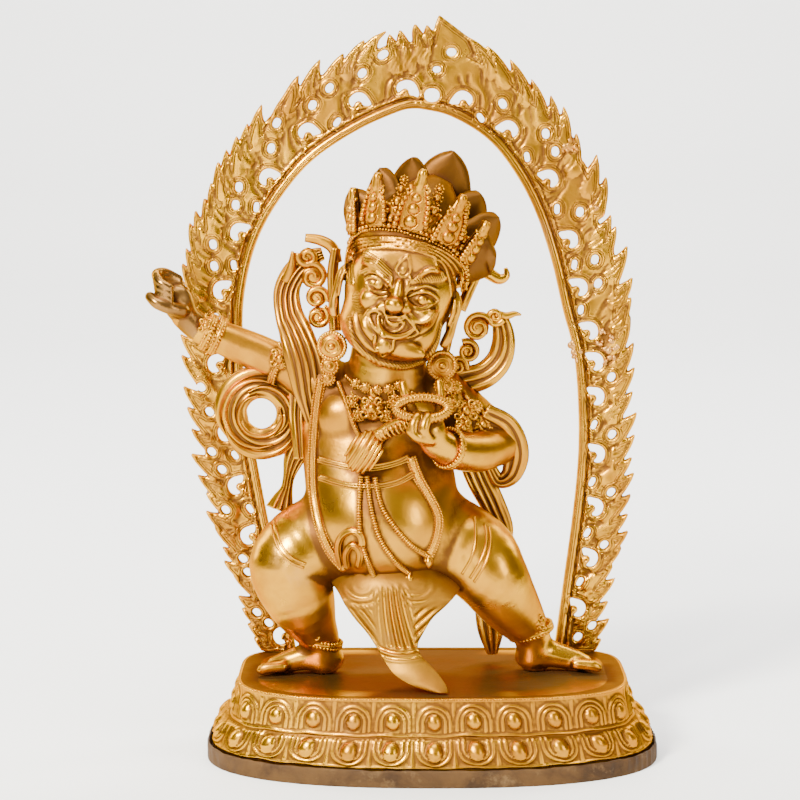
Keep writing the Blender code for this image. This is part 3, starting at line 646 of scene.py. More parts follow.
def gilt(name, lines=(), wear=1.0, deep=1.0, grain=1.0, rough=0.0, light=GOLD_LIGHT, mid=GOLD_MID):
    """Fire-gilt bronze. Lines are engraved where the attribute edge has these values, in millimetres."""
    shader = Shader(name)
    recess = shader.hollows(0.8)
    patch = shader.noise(11, 5, 0.6, 0.4)
    fine = shader.noise(420, 3, 0.6)
    hammer = shader.noise(75, 3, 0.5)
    colour = shader.blend(shader.span(patch, 0.36, 0.64), light, mid)
    blush = shader.math("MULTIPLY", shader.span(shader.noise(17, 4, 0.65), 0.6, 0.72), 0.4 * wear)
    colour = shader.blend(blush, colour, GOLD_PINK)
    # The plinth's top face is painted darker as shade, in colour and edge tint; its higher roughness is a
    # real duller finish
    dull_shaded_top = shader.attribute("dull_shaded_top")
    colour = shader.blend(shader.math("MULTIPLY", dull_shaded_top, 0.85), colour, GOLD_TOP_SHADE)
    # Patina and specks in the hollows, together with painted shade in creases and behind other metal, darken
    # the colour towards GOLD_DEEP and raise the roughness
    speck = shader.math("SUBTRACT", fine, 0.5)
    dirt_and_shade = shader.math("ADD", recess, shader.math("MULTIPLY", speck, 0.25))
    colour = shader.blend(shader.span(dirt_and_shade, 0.0, 0.62, 0, 0.94 * deep), colour, GOLD_DEEP)
    hatch = shader.math("MULTIPLY", shader.attribute("hatch"), shader.wave(205))
    colour = shader.blend(shader.math("MULTIPLY", hatch, 0.6), colour, GOLD_DEEP)
    height = shader.math("MULTIPLY", fine, 0.35 * grain)
    # Edge tint of gold, darkened on the plinth's top as painted shade
    shader.wire(shader.surface.inputs["Specular Tint"], shader.blend(dull_shaded_top, GOLD_EDGE, GOLD_TOP_SHADE_EDGE))
    open_roughness = shader.span(patch, 0.3, 0.7, 0.24 + rough, 0.36 + rough)
    roughness = shader.math("ADD", open_roughness, shader.span(dirt_and_shade, 0.0, 0.7, 0.0, 0.25))
    roughness = shader.math("ADD", roughness, shader.math("MULTIPLY", dull_shaded_top, 0.12))
    normal = shader.relief(hammer, 0.0012, 0.35 * grain)
    normal = shader.relief(height, 0.0003, 0.6, normal)
    normal = shader.relief(shader.math("MULTIPLY", hatch, -1.0), 0.0005, 0.8, normal)
    if lines:
        edge = shader.attribute("edge")
        groove = None
        for place, width in lines:
            near = shader.math("ABSOLUTE", shader.math("SUBTRACT", edge, place))
            mark = shader.span(near, 0.15 * width, width, 1, 0)
            groove = mark if groove is None else shader.math("MAXIMUM", groove, mark)
        groove = shader.math("MAXIMUM", groove, shader.attribute("chased"))
        colour = shader.blend(shader.math("MULTIPLY", groove, 0.75), colour, GOLD_DEEP)
        normal = shader.relief(shader.math("MULTIPLY", groove, -1.0), 0.0006, 0.8, normal)
    return shader.finish(colour, roughness, normal)


def tarnished_copper(name):
    shader = Shader(name, 0.3)
    shader.surface.inputs["Specular IOR Level"].default_value = 0.25
    blotch = shader.noise(28, 6, 0.65, 0.6)
    pale = shader.noise(60, 5, 0.7)
    fine = shader.noise(500, 4, 0.6)
    colour = shader.blend(shader.span(blotch, 0.35, 0.65), COPPER_DARK, COPPER_MID)
    colour = shader.blend(shader.span(pale, 0.54, 0.72, 0, 0.6), colour, COPPER_PALE)
    # Hollows and places close under other metal darken: partly dirt, partly painted shade
    dirt_and_shade = shader.span(shader.hollows(0.5), 0.05, 0.8, 0, 0.85)
    colour = shader.blend(dirt_and_shade, colour, COPPER_DIRT_AND_SHADE)
    roughness = shader.span(blotch, 0.3, 0.7, 0.6, 0.82)
    normal = shader.relief(fine, 0.0003, 0.7, shader.relief(blotch, 0.0015, 0.4))
    return shader.finish(colour, roughness, normal)


# The plinth and its tray

TRAY_HIGH = np.array(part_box("base_tray")[1]) * 1000
TRAY_WALL = 2.0
TRAY_CLEARANCE = 3.5
TRAY_FLOOR = 2.0
FOOT_HALF = TRAY_HIGH[:2] - TRAY_WALL - TRAY_CLEARANCE
TOP_INSET = np.array((22.5, 12.0))
FRONT_POWERS = (2.4, 3.2)
BACK_POWERS = (4.0, 5.0)
PETALS = 28
PETAL_DEPTH = 2.6
# Profile: share of the height, share of the inset, and the petals' swell
PROFILE = (
    (0.034, 0, 0), (0.21, 0, 0), (0.25, 0.03, 0.2), (0.30, 0.12, 0.9), (0.40, 0.28, 1.15),
    (0.51, 0.52, 0.9), (0.555, 0.74, 0), (0.60, 0.75, 0.7), (0.73, 0.85, 1.0), (0.84, 0.93, 0.6),
    (0.89, 0.96, 0), (1.0, 1.0, 0),
)
# The tray's wall from its foot over its rim to its floor: inset, height and share of the dents
TRAY_SECTION = (
    (0.5, 0.0, 0.2), (0.2, 0.4, 0.6), (0.1, 2.5, 0.8), (0.0, 5.0, 1), (0.0, 7.5, 1), (0.0, 10.0, 1),
    (0.1, 12.4, 1), (0.5, 13.5, 1), (1.2, 13.9, 1), (1.8, 13.2, 1), (2.0, 10.0, 0.8), (2.0, 2.2, 0.3),
)
# Points round the plinth, 25 to a petal, and round the tray
PLINTH_COLUMNS = 25 * PETALS
TRAY_COLUMNS = 720


def plan(half, front, back, count):
    """Points evenly round two joined half superellipses from the front middle, normals and length round."""
    angle = np.linspace(0, 2 * np.pi, 4000) - np.pi / 2
    c, s = np.cos(angle), np.sin(angle)
    power = np.where(s > 0, back, front)
    x, y = (size * np.sign(share) * np.abs(share) ** (2 / power) for size, share in zip(half, (c, s)))
    fine = np.stack([x, y], 1)
    lengths = np.concatenate([[0], np.cumsum(np.linalg.norm(np.diff(fine, axis=0), axis=1))])
    wanted = lengths[-1] * np.arange(count) / count
    points = np.stack([np.interp(wanted, lengths, fine[:, k]) for k in (0, 1)], axis=1)
    along = unit(np.roll(points, -1, 0) - np.roll(points, 1, 0))
    return points, np.stack([along[:, 1], -along[:, 0]], axis=1), lengths[-1]


def ridge(value, place, width):
    return bump(value - place, width)


def petal_relief(along, z, pitch):
    """Height of the chasing, in millimetres, at a distance along from the nearest petal's middle."""
    span = pitch / 30.5
    a = along / span
    arch = np.where(z > 49, np.hypot(a, (z - 49) * 1.02), np.abs(a))
    upper = 1.5 * ridge(arch, 12.4, 1.7) + 1.4 * ridge(arch, 8.9, 1.5) - 0.5 * ridge(arch, 10.7, 1.0)
    upper += 0.9 * ridge(np.abs(a), 15.2, 1.1)
    egg = 1 - (a / 5.6) ** 2 - ((z - 49.5) / 6.6) ** 2
    upper += 3.2 * np.sqrt(np.clip(egg, 0, 1)) - 0.8 * bump(egg, 0.5) * (egg < 0)
    upper *= np.clip((z - 40.5) / 1.5, 0, 1) * np.clip((64.5 - z) / 2, 0, 1)
    bowl = np.where(z < 29, np.hypot(a, (29 - z) * 1.05), np.abs(a))
    lower = 1.9 * ridge(bowl, 12.2, 1.8) + 1.6 * ridge(bowl, 8.8, 1.6) - 0.5 * ridge(bowl, 10.5, 1.0)
    lower += 1.1 * ridge(np.abs(a), 15.2, 1.3)
    egg = 1 - (a / 6.0) ** 2 - ((z - 27.5) / 7.2) ** 2
    lower += 3.8 * np.sqrt(np.clip(egg, 0, 1)) - 0.8 * bump(egg, 0.5) * (egg < 0)
    lower *= np.clip((z - 14.5) / 3, 0, 1) * np.clip((36.8 - z) / 1.2, 0, 1)
    waist = 1.8 * ridge(z, 38.6, 1.7)
    lip = 1.0 * ridge(z, 65.6, 1.5) + 0.7 * ridge(z, 15.0, 1.4)
    return upper + lower + waist + lip


def build_plinth(material):
    columns = PLINTH_COLUMNS
    rng = np.random.default_rng(11)
    lean, grow = rng.uniform(-1, 1, (2, PETALS))
    shares = np.array(PROFILE)
    heights = np.concatenate([np.linspace(PROFILE[0][0], 0.2, 5)[:-1], np.linspace(0.2, 1.0, 62)])
    rings = []
    for share in heights:
        inset = np.interp(share, shares[:, 0], shares[:, 1])
        swell = np.interp(share, shares[:, 0], shares[:, 2])
        front, back = (p[0] + (p[1] - p[0]) * inset for p in (FRONT_POWERS, BACK_POWERS))
        points, normals, length = plan(FOOT_HALF - TOP_INSET * inset, front, back, columns)
        pitch = length / PETALS
        # The first petal's middle is at the front
        along = (np.arange(columns) / columns * PETALS + 0.5) % 1 - 0.5
        petal = (np.arange(columns) / columns * PETALS + 0.5).astype(int) % PETALS
        z = share * PLINTH_TOP
        swing = np.cos(np.pi * along)
        own = along * (1 + 0.05 * grow[petal] * swing) + 0.025 * lean[petal] * swing
        own_z = z + (0.8 * grow[petal] + 0.5 * np.sin(along * 5)) * swing * (0.2 < share < 0.95)
        rise = PETAL_DEPTH * swell * swing**2 * 0.6 + petal_relief(own * pitch, own_z, pitch)
        hand = 0.25 * np.sin(along * 40 + z) * np.sin(np.arange(columns) * 0.05 + z * 0.3)
        ring = points + normals * (rise + 0.3 * hand)[:, None]
        rings.append(with_column(ring, z - PLINTH_TOP - SEAT_GAP))
    top = rings[-1][:, :2]
    for inward in (0.992, 0.98, 0.9, 0.7, 0.4, 0.1):
        drop = 0.5 if inward < 0.985 else 0.0
        rings.append(with_column(top * inward, -drop - SEAT_GAP))
    heap = Heap()
    heap.sweep(np.array(rings))
    edge, *_ = plan(FOOT_HALF - TOP_INSET + 0.6, FRONT_POWERS[1], BACK_POWERS[1], 360)
    for point in edge:
        heap.bead((*point, -1.2), (0.95, 0.95, 0.95))
    points, quads, tris = heap.mesh()
    # The plinth's top face, to be painted darker as shade and made rougher
    inside = np.linalg.norm(points[:, :2] / top[:, :2].max(0), axis=1)
    dull_shaded_top = np.clip((0.97 - inside) / 0.03, 0, 1) * (points[:, 2] > -4)
    piece = add_piece("lotus_plinth_gilt", points, quads, tris, material, extras={"dull_shaded_top": dull_shaded_top})
    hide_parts("lotus_plinth")


def build_tray(material):
    rng = np.random.default_rng(7)
    outer, normals, _ = plan(TRAY_HIGH[:2] - 0.6, FRONT_POWERS[0], BACK_POWERS[0], TRAY_COLUMNS)
    turn = np.linspace(0, 2 * np.pi, TRAY_COLUMNS, endpoint=False)
    waves = (9, 14, 23, 37, 52, 75)
    dent = sum(np.sin(turn * k + rng.uniform(0, 6.3)) * rng.uniform(0.1, 0.3) for k in waves)
    # Hammered folds gather the rim round its right end
    right = np.clip((outer[:, 0] - 110) / 60, 0, 1)
    folds = np.abs(np.sin(turn * 58)) * right
    rings = []
    for inward, z, play in TRAY_SECTION:
        wave = np.sin(turn * 90 + z * 0.3) * 0.12
        move = -inward + play * (0.5 * dent - 0.9 * folds + wave - 0.2)
        tall = z * (1 - 0.035 * play * (dent + 1.2 * folds)) if z > 8 else z
        ring = outer + normals * move[:, None]
        level = np.minimum(tall, TRAY_HIGH[2]) * np.ones(TRAY_COLUMNS)
        rings.append(np.column_stack([ring, level - PLINTH_TOP - SEAT_GAP]))
    floor = rings[-1][:, :2]
    for share in (0.9, 0.4):
        rings.append(with_column(floor * share, TRAY_FLOOR - PLINTH_TOP - SEAT_GAP))
    heap = Heap()
    heap.sweep(np.array(rings))
    piece = add_piece("base_tray_copper", *heap.mesh(), material, "tray_metal")
    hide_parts("base_tray")


# The aureole

# Inner edge of the arch from each foot up to its crown: x and height
LEFT_ARCH = (
    (-113, -4), (-123, 53), (-135, 104), (-146, 163), (-155, 214), (-157, 273), (-154, 310), (-144, 347),
    (-126, 380), (-99, 412), (-62, 437), (-26, 453), (-11, 455),
)
RIGHT_ARCH = (
    (103, -4), (112, 66), (118, 113), (122, 155), (123, 189), (121, 231), (117, 260), (109, 289),
    (99, 331), (85, 372), (67, 405), (45, 431), (15, 449), (-11, 455),
)
# Below, each pair is a distance up the inner edge from the half's foot and a reach outward from it
LEFT_COMMAS = (
    (19, 10), (64, 17), (109, 18.6), (152, 20.6), (198, 20), (253, 22.3), (311, 19), (357, 16.5),
    (404, 17.8), (448, 20.6), (493, 20.4), (528, 16.4),
)
RIGHT_COMMAS = (
    (43, 14.6), (87, 19), (130, 17.8), (174, 15.3), (221, 15), (249, 16.4), (273, 16.5), (311, 17),
    (350, 18.9), (399, 21.6), (446, 17.4), (485, 16.4),
)
LEFT_HOLES = (
    (39, 9.7), (32, 18.8), (43, 27), (80, 27), (92, 28.1), (131, 13.3), (134, 33.3), (168, 30.1),
    (178, 17.1), (185, 35.4), (216, 31), (226, 14), (235, 36), (270, 31), (278, 14), (290, 22.2),
    (328, 28.6), (332, 13), (343, 33.8), (374, 28.6), (380, 12.8), (386, 33.6), (422, 31.2), (436, 42.5),
    (462, 36.5), (471, 14.1), (479, 41.3), (504, 40.2), (521, 48.1), (5, 36),
)
RIGHT_HOLES = (
    (19, 18.8), (30, 29.3), (66, 14), (100, 29.8), (108, 14.2), (144, 30.1), (151, 13.4), (190, 28),
    (198, 12.9), (236, 29), (292, 14.6), (311, 33.3), (330, 35), (330, 17.5), (368, 34.3), (376, 17.4),
    (414, 37.3), (422, 15.4), (428, 38.9), (460, 30.2), (467, 10.6),
)
LEFT_TIPS = (
    (20, 33), (33, 36), (47, 38.3), (59, 39.4), (78, 38.7), (92, 43.8), (103, 41.8), (120, 45),
    (134, 49.4), (149, 46.5), (165, 50.3), (185, 52.4), (204, 48.2), (220, 49), (235, 50.4), (259, 50.8),
    (275, 51), (291, 52), (308, 53), (324, 54.8), (334, 54.2), (350, 57.2), (358, 56.2), (367, 53.7),
    (377, 54.5), (391, 58.7), (401, 58.8), (412, 58.7), (422, 58.6), (435, 61.3), (449, 55.6), (463, 62.6),
    (481, 64.6), (496, 60.7), (512, 64), (523, 65.3),
)
RIGHT_TIPS = (
    (18, 37.9), (36, 42.1), (51, 39.2), (71, 42.3), (82, 39.1), (98, 44), (112, 47.6), (126, 45.7),
    (142, 46.3), (159, 47.2), (171, 44.5), (188, 46.4), (205, 48.1), (222, 45.4), (240, 48.2), (257, 50),
    (274, 51.9), (289, 57), (308, 61.5), (332, 63), (348, 58.6), (357, 57.3), (382, 64.4), (397, 64.9),
    (415, 59.5), (433, 63.5), (442, 61.1), (454, 59.9), (469, 63), (484, 63.9), (494, 65.2),
)
# Tips of the flames left of the apex: x and height
APEX_TIPS = ((-34.5, 515), (-26, 518.5), (-13.8, 523.5), (-4, 522.5))
APEX_PATCH = ((-9, 492), (2, 522), (4.1, 532.7), (31, 512.5), (38, 498), (16, 488))
# Holes above the arch's crown: x, height and radius
APEX_HOLES = ((0, 466, 5.5), (4, 487, 2.6), (16, 501, 3.2))
# Small openings, as rows of distance, reach and radius
RIM_SLOT = ((-1.8, -0.8, 2.2), (1.8, 0.8, 2.2))
OUTER_HOLE = ((-0.8, -0.5, 3.1), (0.8, 0.5, 3.1))
RIM_WIDTH = 7.5
FLAME_STEP = 1.46
# How far from the inner edge places are measured, and a distance beyond all of them
ARCH_REACH = 90
FAR = 999.0
FLAME_LOW = (-219.0, -1.5)
FLAME_HIGH = (204, 538)
AUREOLE_HALF_DEPTH = 7.5


class Arch:
    """One half of the aureole's inner edge, as points with distances and outward directions."""

    def __init__(self, points, outward):
        self.line = even(np.pad(curve(points, 8), ((0, 0), (0, 1))), 4.0)[:, :2]
        steps = np.linalg.norm(np.diff(self.line, axis=0), axis=1)
        self.lengths = np.concatenate([[0], np.cumsum(steps)])
        along = unit(np.gradient(self.line, axis=0))
        self.normals = np.stack([along[:, 1], -along[:, 0]], axis=1) * outward

    def at(self, distance, reach):
        place = [np.interp(distance, self.lengths, self.line[:, k]) for k in (0, 1)]
        normal = unit(np.array([np.interp(distance, self.lengths, self.normals[:, k]) for k in (0, 1)]))
        return np.array(place) + normal * reach

    def trail(self, distance, reach, path, least=-math.inf):
        """Rows of x, height and radius along a path of distance, reach and radius from this spot."""
        return [(*self.at(distance + s, max(reach + r, least)), radius) for s, r, radius in path]


def capsule(x, z, a, b, ra, rb):
    """Distance to a round-ended bar in the plane, and the distance as a share of its radius."""
    dx, dz = b[0] - a[0], b[1] - a[1]
    t = np.clip(((x - a[0]) * dx + (z - a[1]) * dz) / max(dx * dx + dz * dz, 1e-6), 0, 1)
    gap = np.hypot(x - a[0] - t * dx, z - a[1] - t * dz)
    radius = ra + t * (rb - ra)
    return gap - radius, gap / np.maximum(radius, 0.8)


class Flames:
    """The aureole's outline, holes and relief on a level grid of x and height."""

    def __init__(self, step):
        self.low = np.array(FLAME_LOW)
        self.step = step
        self.x = np.arange(FLAME_LOW[0], FLAME_HIGH[0], step)[:, None]
        self.z = np.arange(FLAME_LOW[1], FLAME_HIGH[1], step)[None, :]
        shape = (self.x.size, self.z.size)
        self.reach = np.full(shape, FAR)
        self.distance = np.zeros(shape)
        self.half = np.zeros(shape, int)
        self.arches = (Arch(LEFT_ARCH, -1), Arch(RIGHT_ARCH, 1))
        for index, arch in enumerate(self.arches):
            self.measure(arch, index)
        self.outer = np.full(shape, FAR)
        self.hole = np.full(shape, FAR)
        self.swell = np.zeros(shape)
        self.curl = np.full(shape, FAR)
        self.groove = np.full(shape, FAR)

    def measure(self, arch, index):
        for k in range(len(arch.line) - 1):
            a, b = arch.line[k], arch.line[k + 1]
            cut = self.window(np.minimum(a, b) - ARCH_REACH, np.maximum(a, b) + ARCH_REACH)
            x, z = self.x[cut[0]], self.z[:, cut[1]]
            step = b - a
            t = np.clip(((x - a[0]) * step[0] + (z - a[1]) * step[1]) / step.dot(step), 0, 1)
            dx, dz = x - a[0] - t * step[0], z - a[1] - t * step[1]
            gap = np.hypot(dx, dz)
            side = np.sign(dx * arch.normals[k, 0] + dz * arch.normals[k, 1])
            nearer = gap < np.abs(self.reach[cut])
            self.reach[cut] = np.where(nearer, gap * side, self.reach[cut])
            travelled = arch.lengths[k] + t * (arch.lengths[k + 1] - arch.lengths[k])
            self.distance[cut] = np.where(nearer, travelled, self.distance[cut])
            self.half[cut] = np.where(nearer, index, self.half[cut])

    def window(self, low, high):
        first = np.clip(((np.array(low) - self.low) / self.step).astype(int), 0, None)
        last = ((np.array(high) - self.low) / self.step).astype(int) + 2
        last = np.clip(last, 1, (self.x.size, self.z.size))
        return tuple(slice(min(a, b - 1), b) for a, b in zip(first, last))

    def bar(self, layer, rows, blend=1.0, swell=False):
        """Melts a tapering curved bar, given as rows of x, z and radius, into a layer."""
        rows = curve(rows, 5)
        pad = rows[:, 2].max() + 6
        cut = self.window(rows[:, :2].min(0) - pad, rows[:, :2].max(0) + pad)
        x, z = self.x[cut[0]], self.z[:, cut[1]]
        near = np.full(layer[cut].shape, FAR)
        share = np.full(layer[cut].shape, 9.0)
        for a, b in zip(rows, rows[1:]):
            gap, part = capsule(x, z, a[:2], b[:2], a[2], b[2])
            near = np.minimum(near, gap)
            share = np.minimum(share, part)
        old = layer[cut]
        mix = np.clip(0.5 + 0.5 * (old - near) / blend, 0, 1)
        layer[cut] = old * (1 - mix) + near * mix - blend * mix * (1 - mix)
        if swell:
            dome = np.sqrt(np.clip(1 - share**2, 0, 1)) * np.clip(rows[:, 2].max() / 5, 0.4, 1)
            self.swell[cut] = np.maximum(self.swell[cut], dome)

    def tongue(self, arch, distance, reach, lined):
        path = ((-17, -17, 7.8), (-10, -11, 6.5), (-5.5, -6.4, 4.6), (-2.6, -3.2, 2.8), (1.4, 0.2, 0.7))
        self.bar(self.outer, arch.trail(distance, reach, path, 12), 1.2, True)
        # Two engraved lines sway from the rim out into the tip
        for shift in (-1.4, 2.2) if lined else ():
            outward = (13.5 - reach, -0.62 * reach, -0.44 * reach, -0.22 * reach, -4)
            path = zip((-32, -29, -17, -12, -3), outward)
            self.bar(self.groove, [(*arch.at(distance + s + shift, reach + r), 0) for s, r in path], 0.2)

    def apex_tongue(self, x, z):
        rows = ((x + 6, z - 26, 7.5), (x + 3.5, z - 14, 5.8), (x + 1, z - 6, 3.8), (x, z, 0.8))
        self.bar(self.outer, rows, 1.2, True)
        for shift in (-1.6, 1.8):
            path = ((10, -44), (3, -30), (8, -17), (2, -5))
            self.bar(self.groove, [(x + dx + shift, z + dz, 0) for dx, dz in path], 0.2)

    def comma(self, arch, distance, reach):
        path = ((-1.6, 1.2, 5.6), (1.4, 1.0, 5.8), (4.6, -2.4, 3.4), (7.0, -5.6, 1.4))
        self.bar(self.hole, arch.trail(distance, reach, path), 0.8)
        path = ((-11, 9.5 - reach, 2.4), (-8.5, -6.5, 2.6), (-4.6, -5.0, 3.0), (-1.2, -2.6, 3.4))
        self.bar(self.curl, arch.trail(distance, reach, path), 0.8, True)

    def curls(self, arch, distance, reach):
        """Engraved lines that flow from the rim round the hole and out into the flame above it."""
        for shift, lean in ((0, 0), (4.5, 2.0)):
            path = ((-15 - shift, 10.5 - reach, 0), (-10 - shift, 13 - reach + lean, 0), (-9.5 - shift, 0, 0),
                    (-4 - shift, 8.5 + lean, 0), (5 - shift, 11 + lean, 0), (8 - shift, 16 + 2 * lean, 0))
            self.bar(self.groove, arch.trail(distance, reach, path), 0.2)


def web_limit(distance, tips, foot):
    """How far out the flames are joined: a little inside the tips, from the foot up."""
    rows = np.array(list(foot) + [(s, r - 11) for s, r in tips if s > 30])
    return np.interp(distance, rows[:, 0], rows[:, 1])


def draw_flames(flames):
    """The outer outline: a web along the arch with tongues that lick out of it."""
    left_limit = web_limit(flames.distance, LEFT_TIPS, ((0, 15), (10, 26)))
    right_limit = web_limit(flames.distance, RIGHT_TIPS, ((0, 33), (8, 33)))
    flames.outer = flames.reach - np.where(flames.half == 0, left_limit, right_limit)
    for arch, tips in zip(flames.arches, (LEFT_TIPS, RIGHT_TIPS)):
        last = 0
        for distance_up, tip_reach in tips:
            lined = distance_up > last + 18
            last = distance_up if lined else last
            flames.tongue(arch, distance_up, tip_reach, lined)
    for tip in APEX_TIPS:
        flames.apex_tongue(*tip)


def apex_plate(flames):
    """Distance to the plain patch that mends the arch at its apex."""
    patch = np.array(APEX_PATCH)
    sides = np.roll(patch, -1, 0) - patch
    turn = unit(np.stack([sides[:, 1], -sides[:, 0]], axis=1))
    turn *= np.sign(((patch - patch.mean(0)) * turn).sum(1))[:, None]
    return np.max([(flames.x - p[0]) * n[0] + (flames.z - p[1]) * n[1] for p, n in zip(patch, turn)], axis=0)


def cut_holes(flames):
    for arch, commas, holes in zip(flames.arches, (LEFT_COMMAS, RIGHT_COMMAS), (LEFT_HOLES, RIGHT_HOLES)):
        for place in commas:
            flames.comma(arch, *place)
            flames.curls(arch, *place)
        for place in holes:
            # Slots near the rim, rounder holes further out
            path = RIM_SLOT if place[1] < 18 else OUTER_HOLE
            flames.bar(flames.hole, arch.trail(*place, path), 0.8)
    for x, z, radius in APEX_HOLES:
        flames.bar(flames.hole, ((x - 0.8, z, radius), (x + 0.8, z, radius)), 0.5)
    flames.hole = np.maximum(flames.hole, -flames.curl)


def metal_height(flames, edge, open_metal):
    """Height of the metal in front of the arch's middle plane: swelling flames, lips, grooves and rims."""
    reach = flames.reach
    height = 2.0 + 1.5 * flames.swell * open_metal
    lips = 0.55 * bump(edge + 1.6, 1.3) - 0.35 * bump(edge + 3.4, 1.1) + 0.35 * bump(edge + 5.0, 1.2)
    pillow = 0.4 * np.sqrt(np.clip(flames.groove / 4, 0, 1))
    height = height + (lips + pillow - 0.45 * bump(flames.groove, 1.2)) * open_metal
    height = height + 2.6 * np.sqrt(np.clip(1 - ((reach - 3.6) / 3.9) ** 2, 0, 1))
    height = height - 0.9 * bump(reach - 8.3, 1.1) + 1.1 * bump(reach - 10.3, 1.5)
    return height - 0.7 * bump(reach - 12.3, 1.1)


def thicken(flames, edge, height):
    """The outline as a solid with rounded rims and a flatter back."""
    (left_end, foot), step = flames.low, flames.step
    right_end, top = left_end + step * (flames.x.size - 1), foot + step * (flames.z.size - 1)
    front, back = AUREOLE_Y - AUREOLE_HALF_DEPTH, AUREOLE_Y + AUREOLE_HALF_DEPTH
    solid = Field((left_end, front, foot), (right_end, back, top), (step, 1.25, step))
    y = (solid.low[1] + solid.step[1] * np.arange(solid.grid.shape[1]) - AUREOLE_Y)[None, :, None]
    height = height[:, None, :]
    deep = np.abs(y) - np.where(y < 0, height, 1.0 + 0.55 * height)
    wall = edge[:, None, :]
    rim = np.clip(0.5 + 0.5 * (deep - wall) / 1.4, 0, 1)
    solid.grid = (wall * (1 - rim) + deep * rim + 1.4 * rim * (1 - rim)).astype(np.float32)
    return solid


def build_aureole(material):
    flames = Flames(FLAME_STEP)
    draw_flames(flames)
    plate = apex_plate(flames)
    flames.outer = np.minimum(flames.outer, plate)
    cut_holes(flames)
    outline = np.maximum(np.maximum(flames.outer, -flames.z), -flames.reach)
    edge = np.maximum(outline, -flames.hole)
    whole_rim = np.maximum(outline, -np.maximum(flames.hole, 0.1))
    edge = np.where(flames.reach < RIM_WIDTH, whole_rim, edge)
    open_metal = np.clip((flames.reach - RIM_WIDTH - 1) / 2, 0, 1) * (plate > -1)
    points, quads = thicken(flames, edge, metal_height(flames, edge, open_metal)).surface()
    where = (points[:, (0, 2)] - flames.low) / flames.step
    chased = 0.8 * bump(flames.groove, 1.4) * open_metal * (edge < -1)
    layers = {"edge": between_cells(np.clip(edge, -30, 30), where), "chased": between_cells(chased, where)}
    piece = add_piece("aureole_gilt", points, quads, None, material, extras=layers)
    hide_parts("aureole")


# Lumps of solder on the aureole's mended places: pixel of the photograph and radius
MENDS = (
    (603, 333, 2.8), (610, 339, 3.6), (617, 347, 2.8), (607, 350, 3.4), (600, 344, 2.6), (612, 357, 2.8),
    (605, 362, 2.2), (574, 345, 3.6), (578, 352, 4.2), (576, 359, 3.0), (569, 144, 4.4), (575, 149, 3.0),
    (565, 150, 2.4), (596, 208, 2.4),
)


def build_mends(material):
    """Solder that was run over old breaks, pinker than the gilding round it."""
    rng = np.random.default_rng(5)
    heap = Heap()
    for u, v, radius in MENDS:
        place, rays = pixel_rays([(u, v)])
        spot = place + rays[0] * (AUREOLE_Y - 2.6 - place[1]) / rays[0, 1]
        for _ in range(5):
            shift = rng.uniform(-0.8, 0.8, 3) * radius * (1, 0.1, 1)
            size = radius * rng.uniform(0.5, 0.9)
            heap.bead(spot + shift, (size, 1.9, size))
    add_piece("aureole_solder", *heap.mesh(), material)


# The figure

# Cells of the distance fields, in millimetres: the body's, and the head's and hands'
BODY_STEP = 1.9
HEAD_STEP = 1.0
# Torso sections: x, y, z, half width, half depth
TORSO = (
    (-30, 0, 66, 30, 24), (-32, -2, 80, 48, 38), (-37, -7, 100, 58, 46), (-39, -10, 125, 61, 50),
    (-41, -8, 150, 61, 48), (-44, -4, 175, 60, 42), (-46, -1, 200, 59, 37), (-44, 1, 222, 54, 32),
    (-41, 1, 238, 40, 26), (-39, -3, 252, 27, 22),
)
# Limbs: x, y, z, radius
RIGHT_LEG = (
    (-60, 2, 112, 40), (-96, -10, 108, 36), (-116, -20, 92, 31), (-107, -18, 66, 28), (-98, -10, 44, 20),
    (-91, -4, 28, 15.5), (-90, -1, 14, 14),
)
LEFT_LEG = (
    (0, 2, 112, 40), (32, -10, 99, 35), (46, -18, 84, 30), (56, -14, 68, 26.5), (68, -6, 50, 21.5),
    (79, 3, 34, 16), (84, 8, 18, 14),
)
RIGHT_ARM = (
    (-84, 4, 232, 25), (-100, 7, 243, 21), (-122, 9, 252, 15.5), (-143, 10, 261, 15), (-168, 8, 272, 13.5),
    (-188, 6, 281, 11.5), (-199, 4, 291, 11),
)
LEFT_UPPER_ARM = ((6, 5, 224, 25), (30, 9, 208, 20), (54, 10, 189, 17.5))
LEFT_FOREARM = (
    (54, 10, 187, 17.5), (38, -16, 184, 16.5), (20, -38, 187, 15), (4, -54, 194, 12), (-3, -60, 203, 11),
)
KNEES_AND_CALVES = (
    ((-112, -30, 98), (17, 15, 18)), ((48, -26, 92), (17, 15, 18)),
    ((-102, -4, 62), (18, 16, 24)), ((60, 2, 66), (18, 15, 22)),
)
# Index, little, middle and ring finger, then the thumb of the left hand
LEFT_FINGERS = (
    ((-13, -65, 217, 4.6), (-18, -68, 226, 4.4), (-22, -69, 236, 4.0), (-24, -67, 244, 3.3)),
    ((3, -65, 216, 4.3), (5, -67, 226, 4.0), (5, -68, 236, 3.6), (4, -66, 245, 2.9)),
    ((-9, -68, 218, 4.6), (-13, -76, 219, 4.5), (-16, -80, 211, 4.3), (-12, -76, 204, 4.0)),
    ((-3, -68, 218, 4.4), (-5, -76, 219, 4.3), (-8, -80, 210, 4.1), (-5, -75, 203, 3.8)),
    ((3, -60, 202, 5.5), (-4, -72, 201, 4.8), (-12, -80, 204, 4.4), (-18, -80, 209, 3.8)),
)
HEAD_CENTRE = np.array((-28.0, -20.0, 306.0))
HEAD_AXES = rotation("Y", 15) @ rotation("Z", -7)


def head_at(right, front, up):
    return HEAD_CENTRE + HEAD_AXES @ np.array((right, -front, up), float)


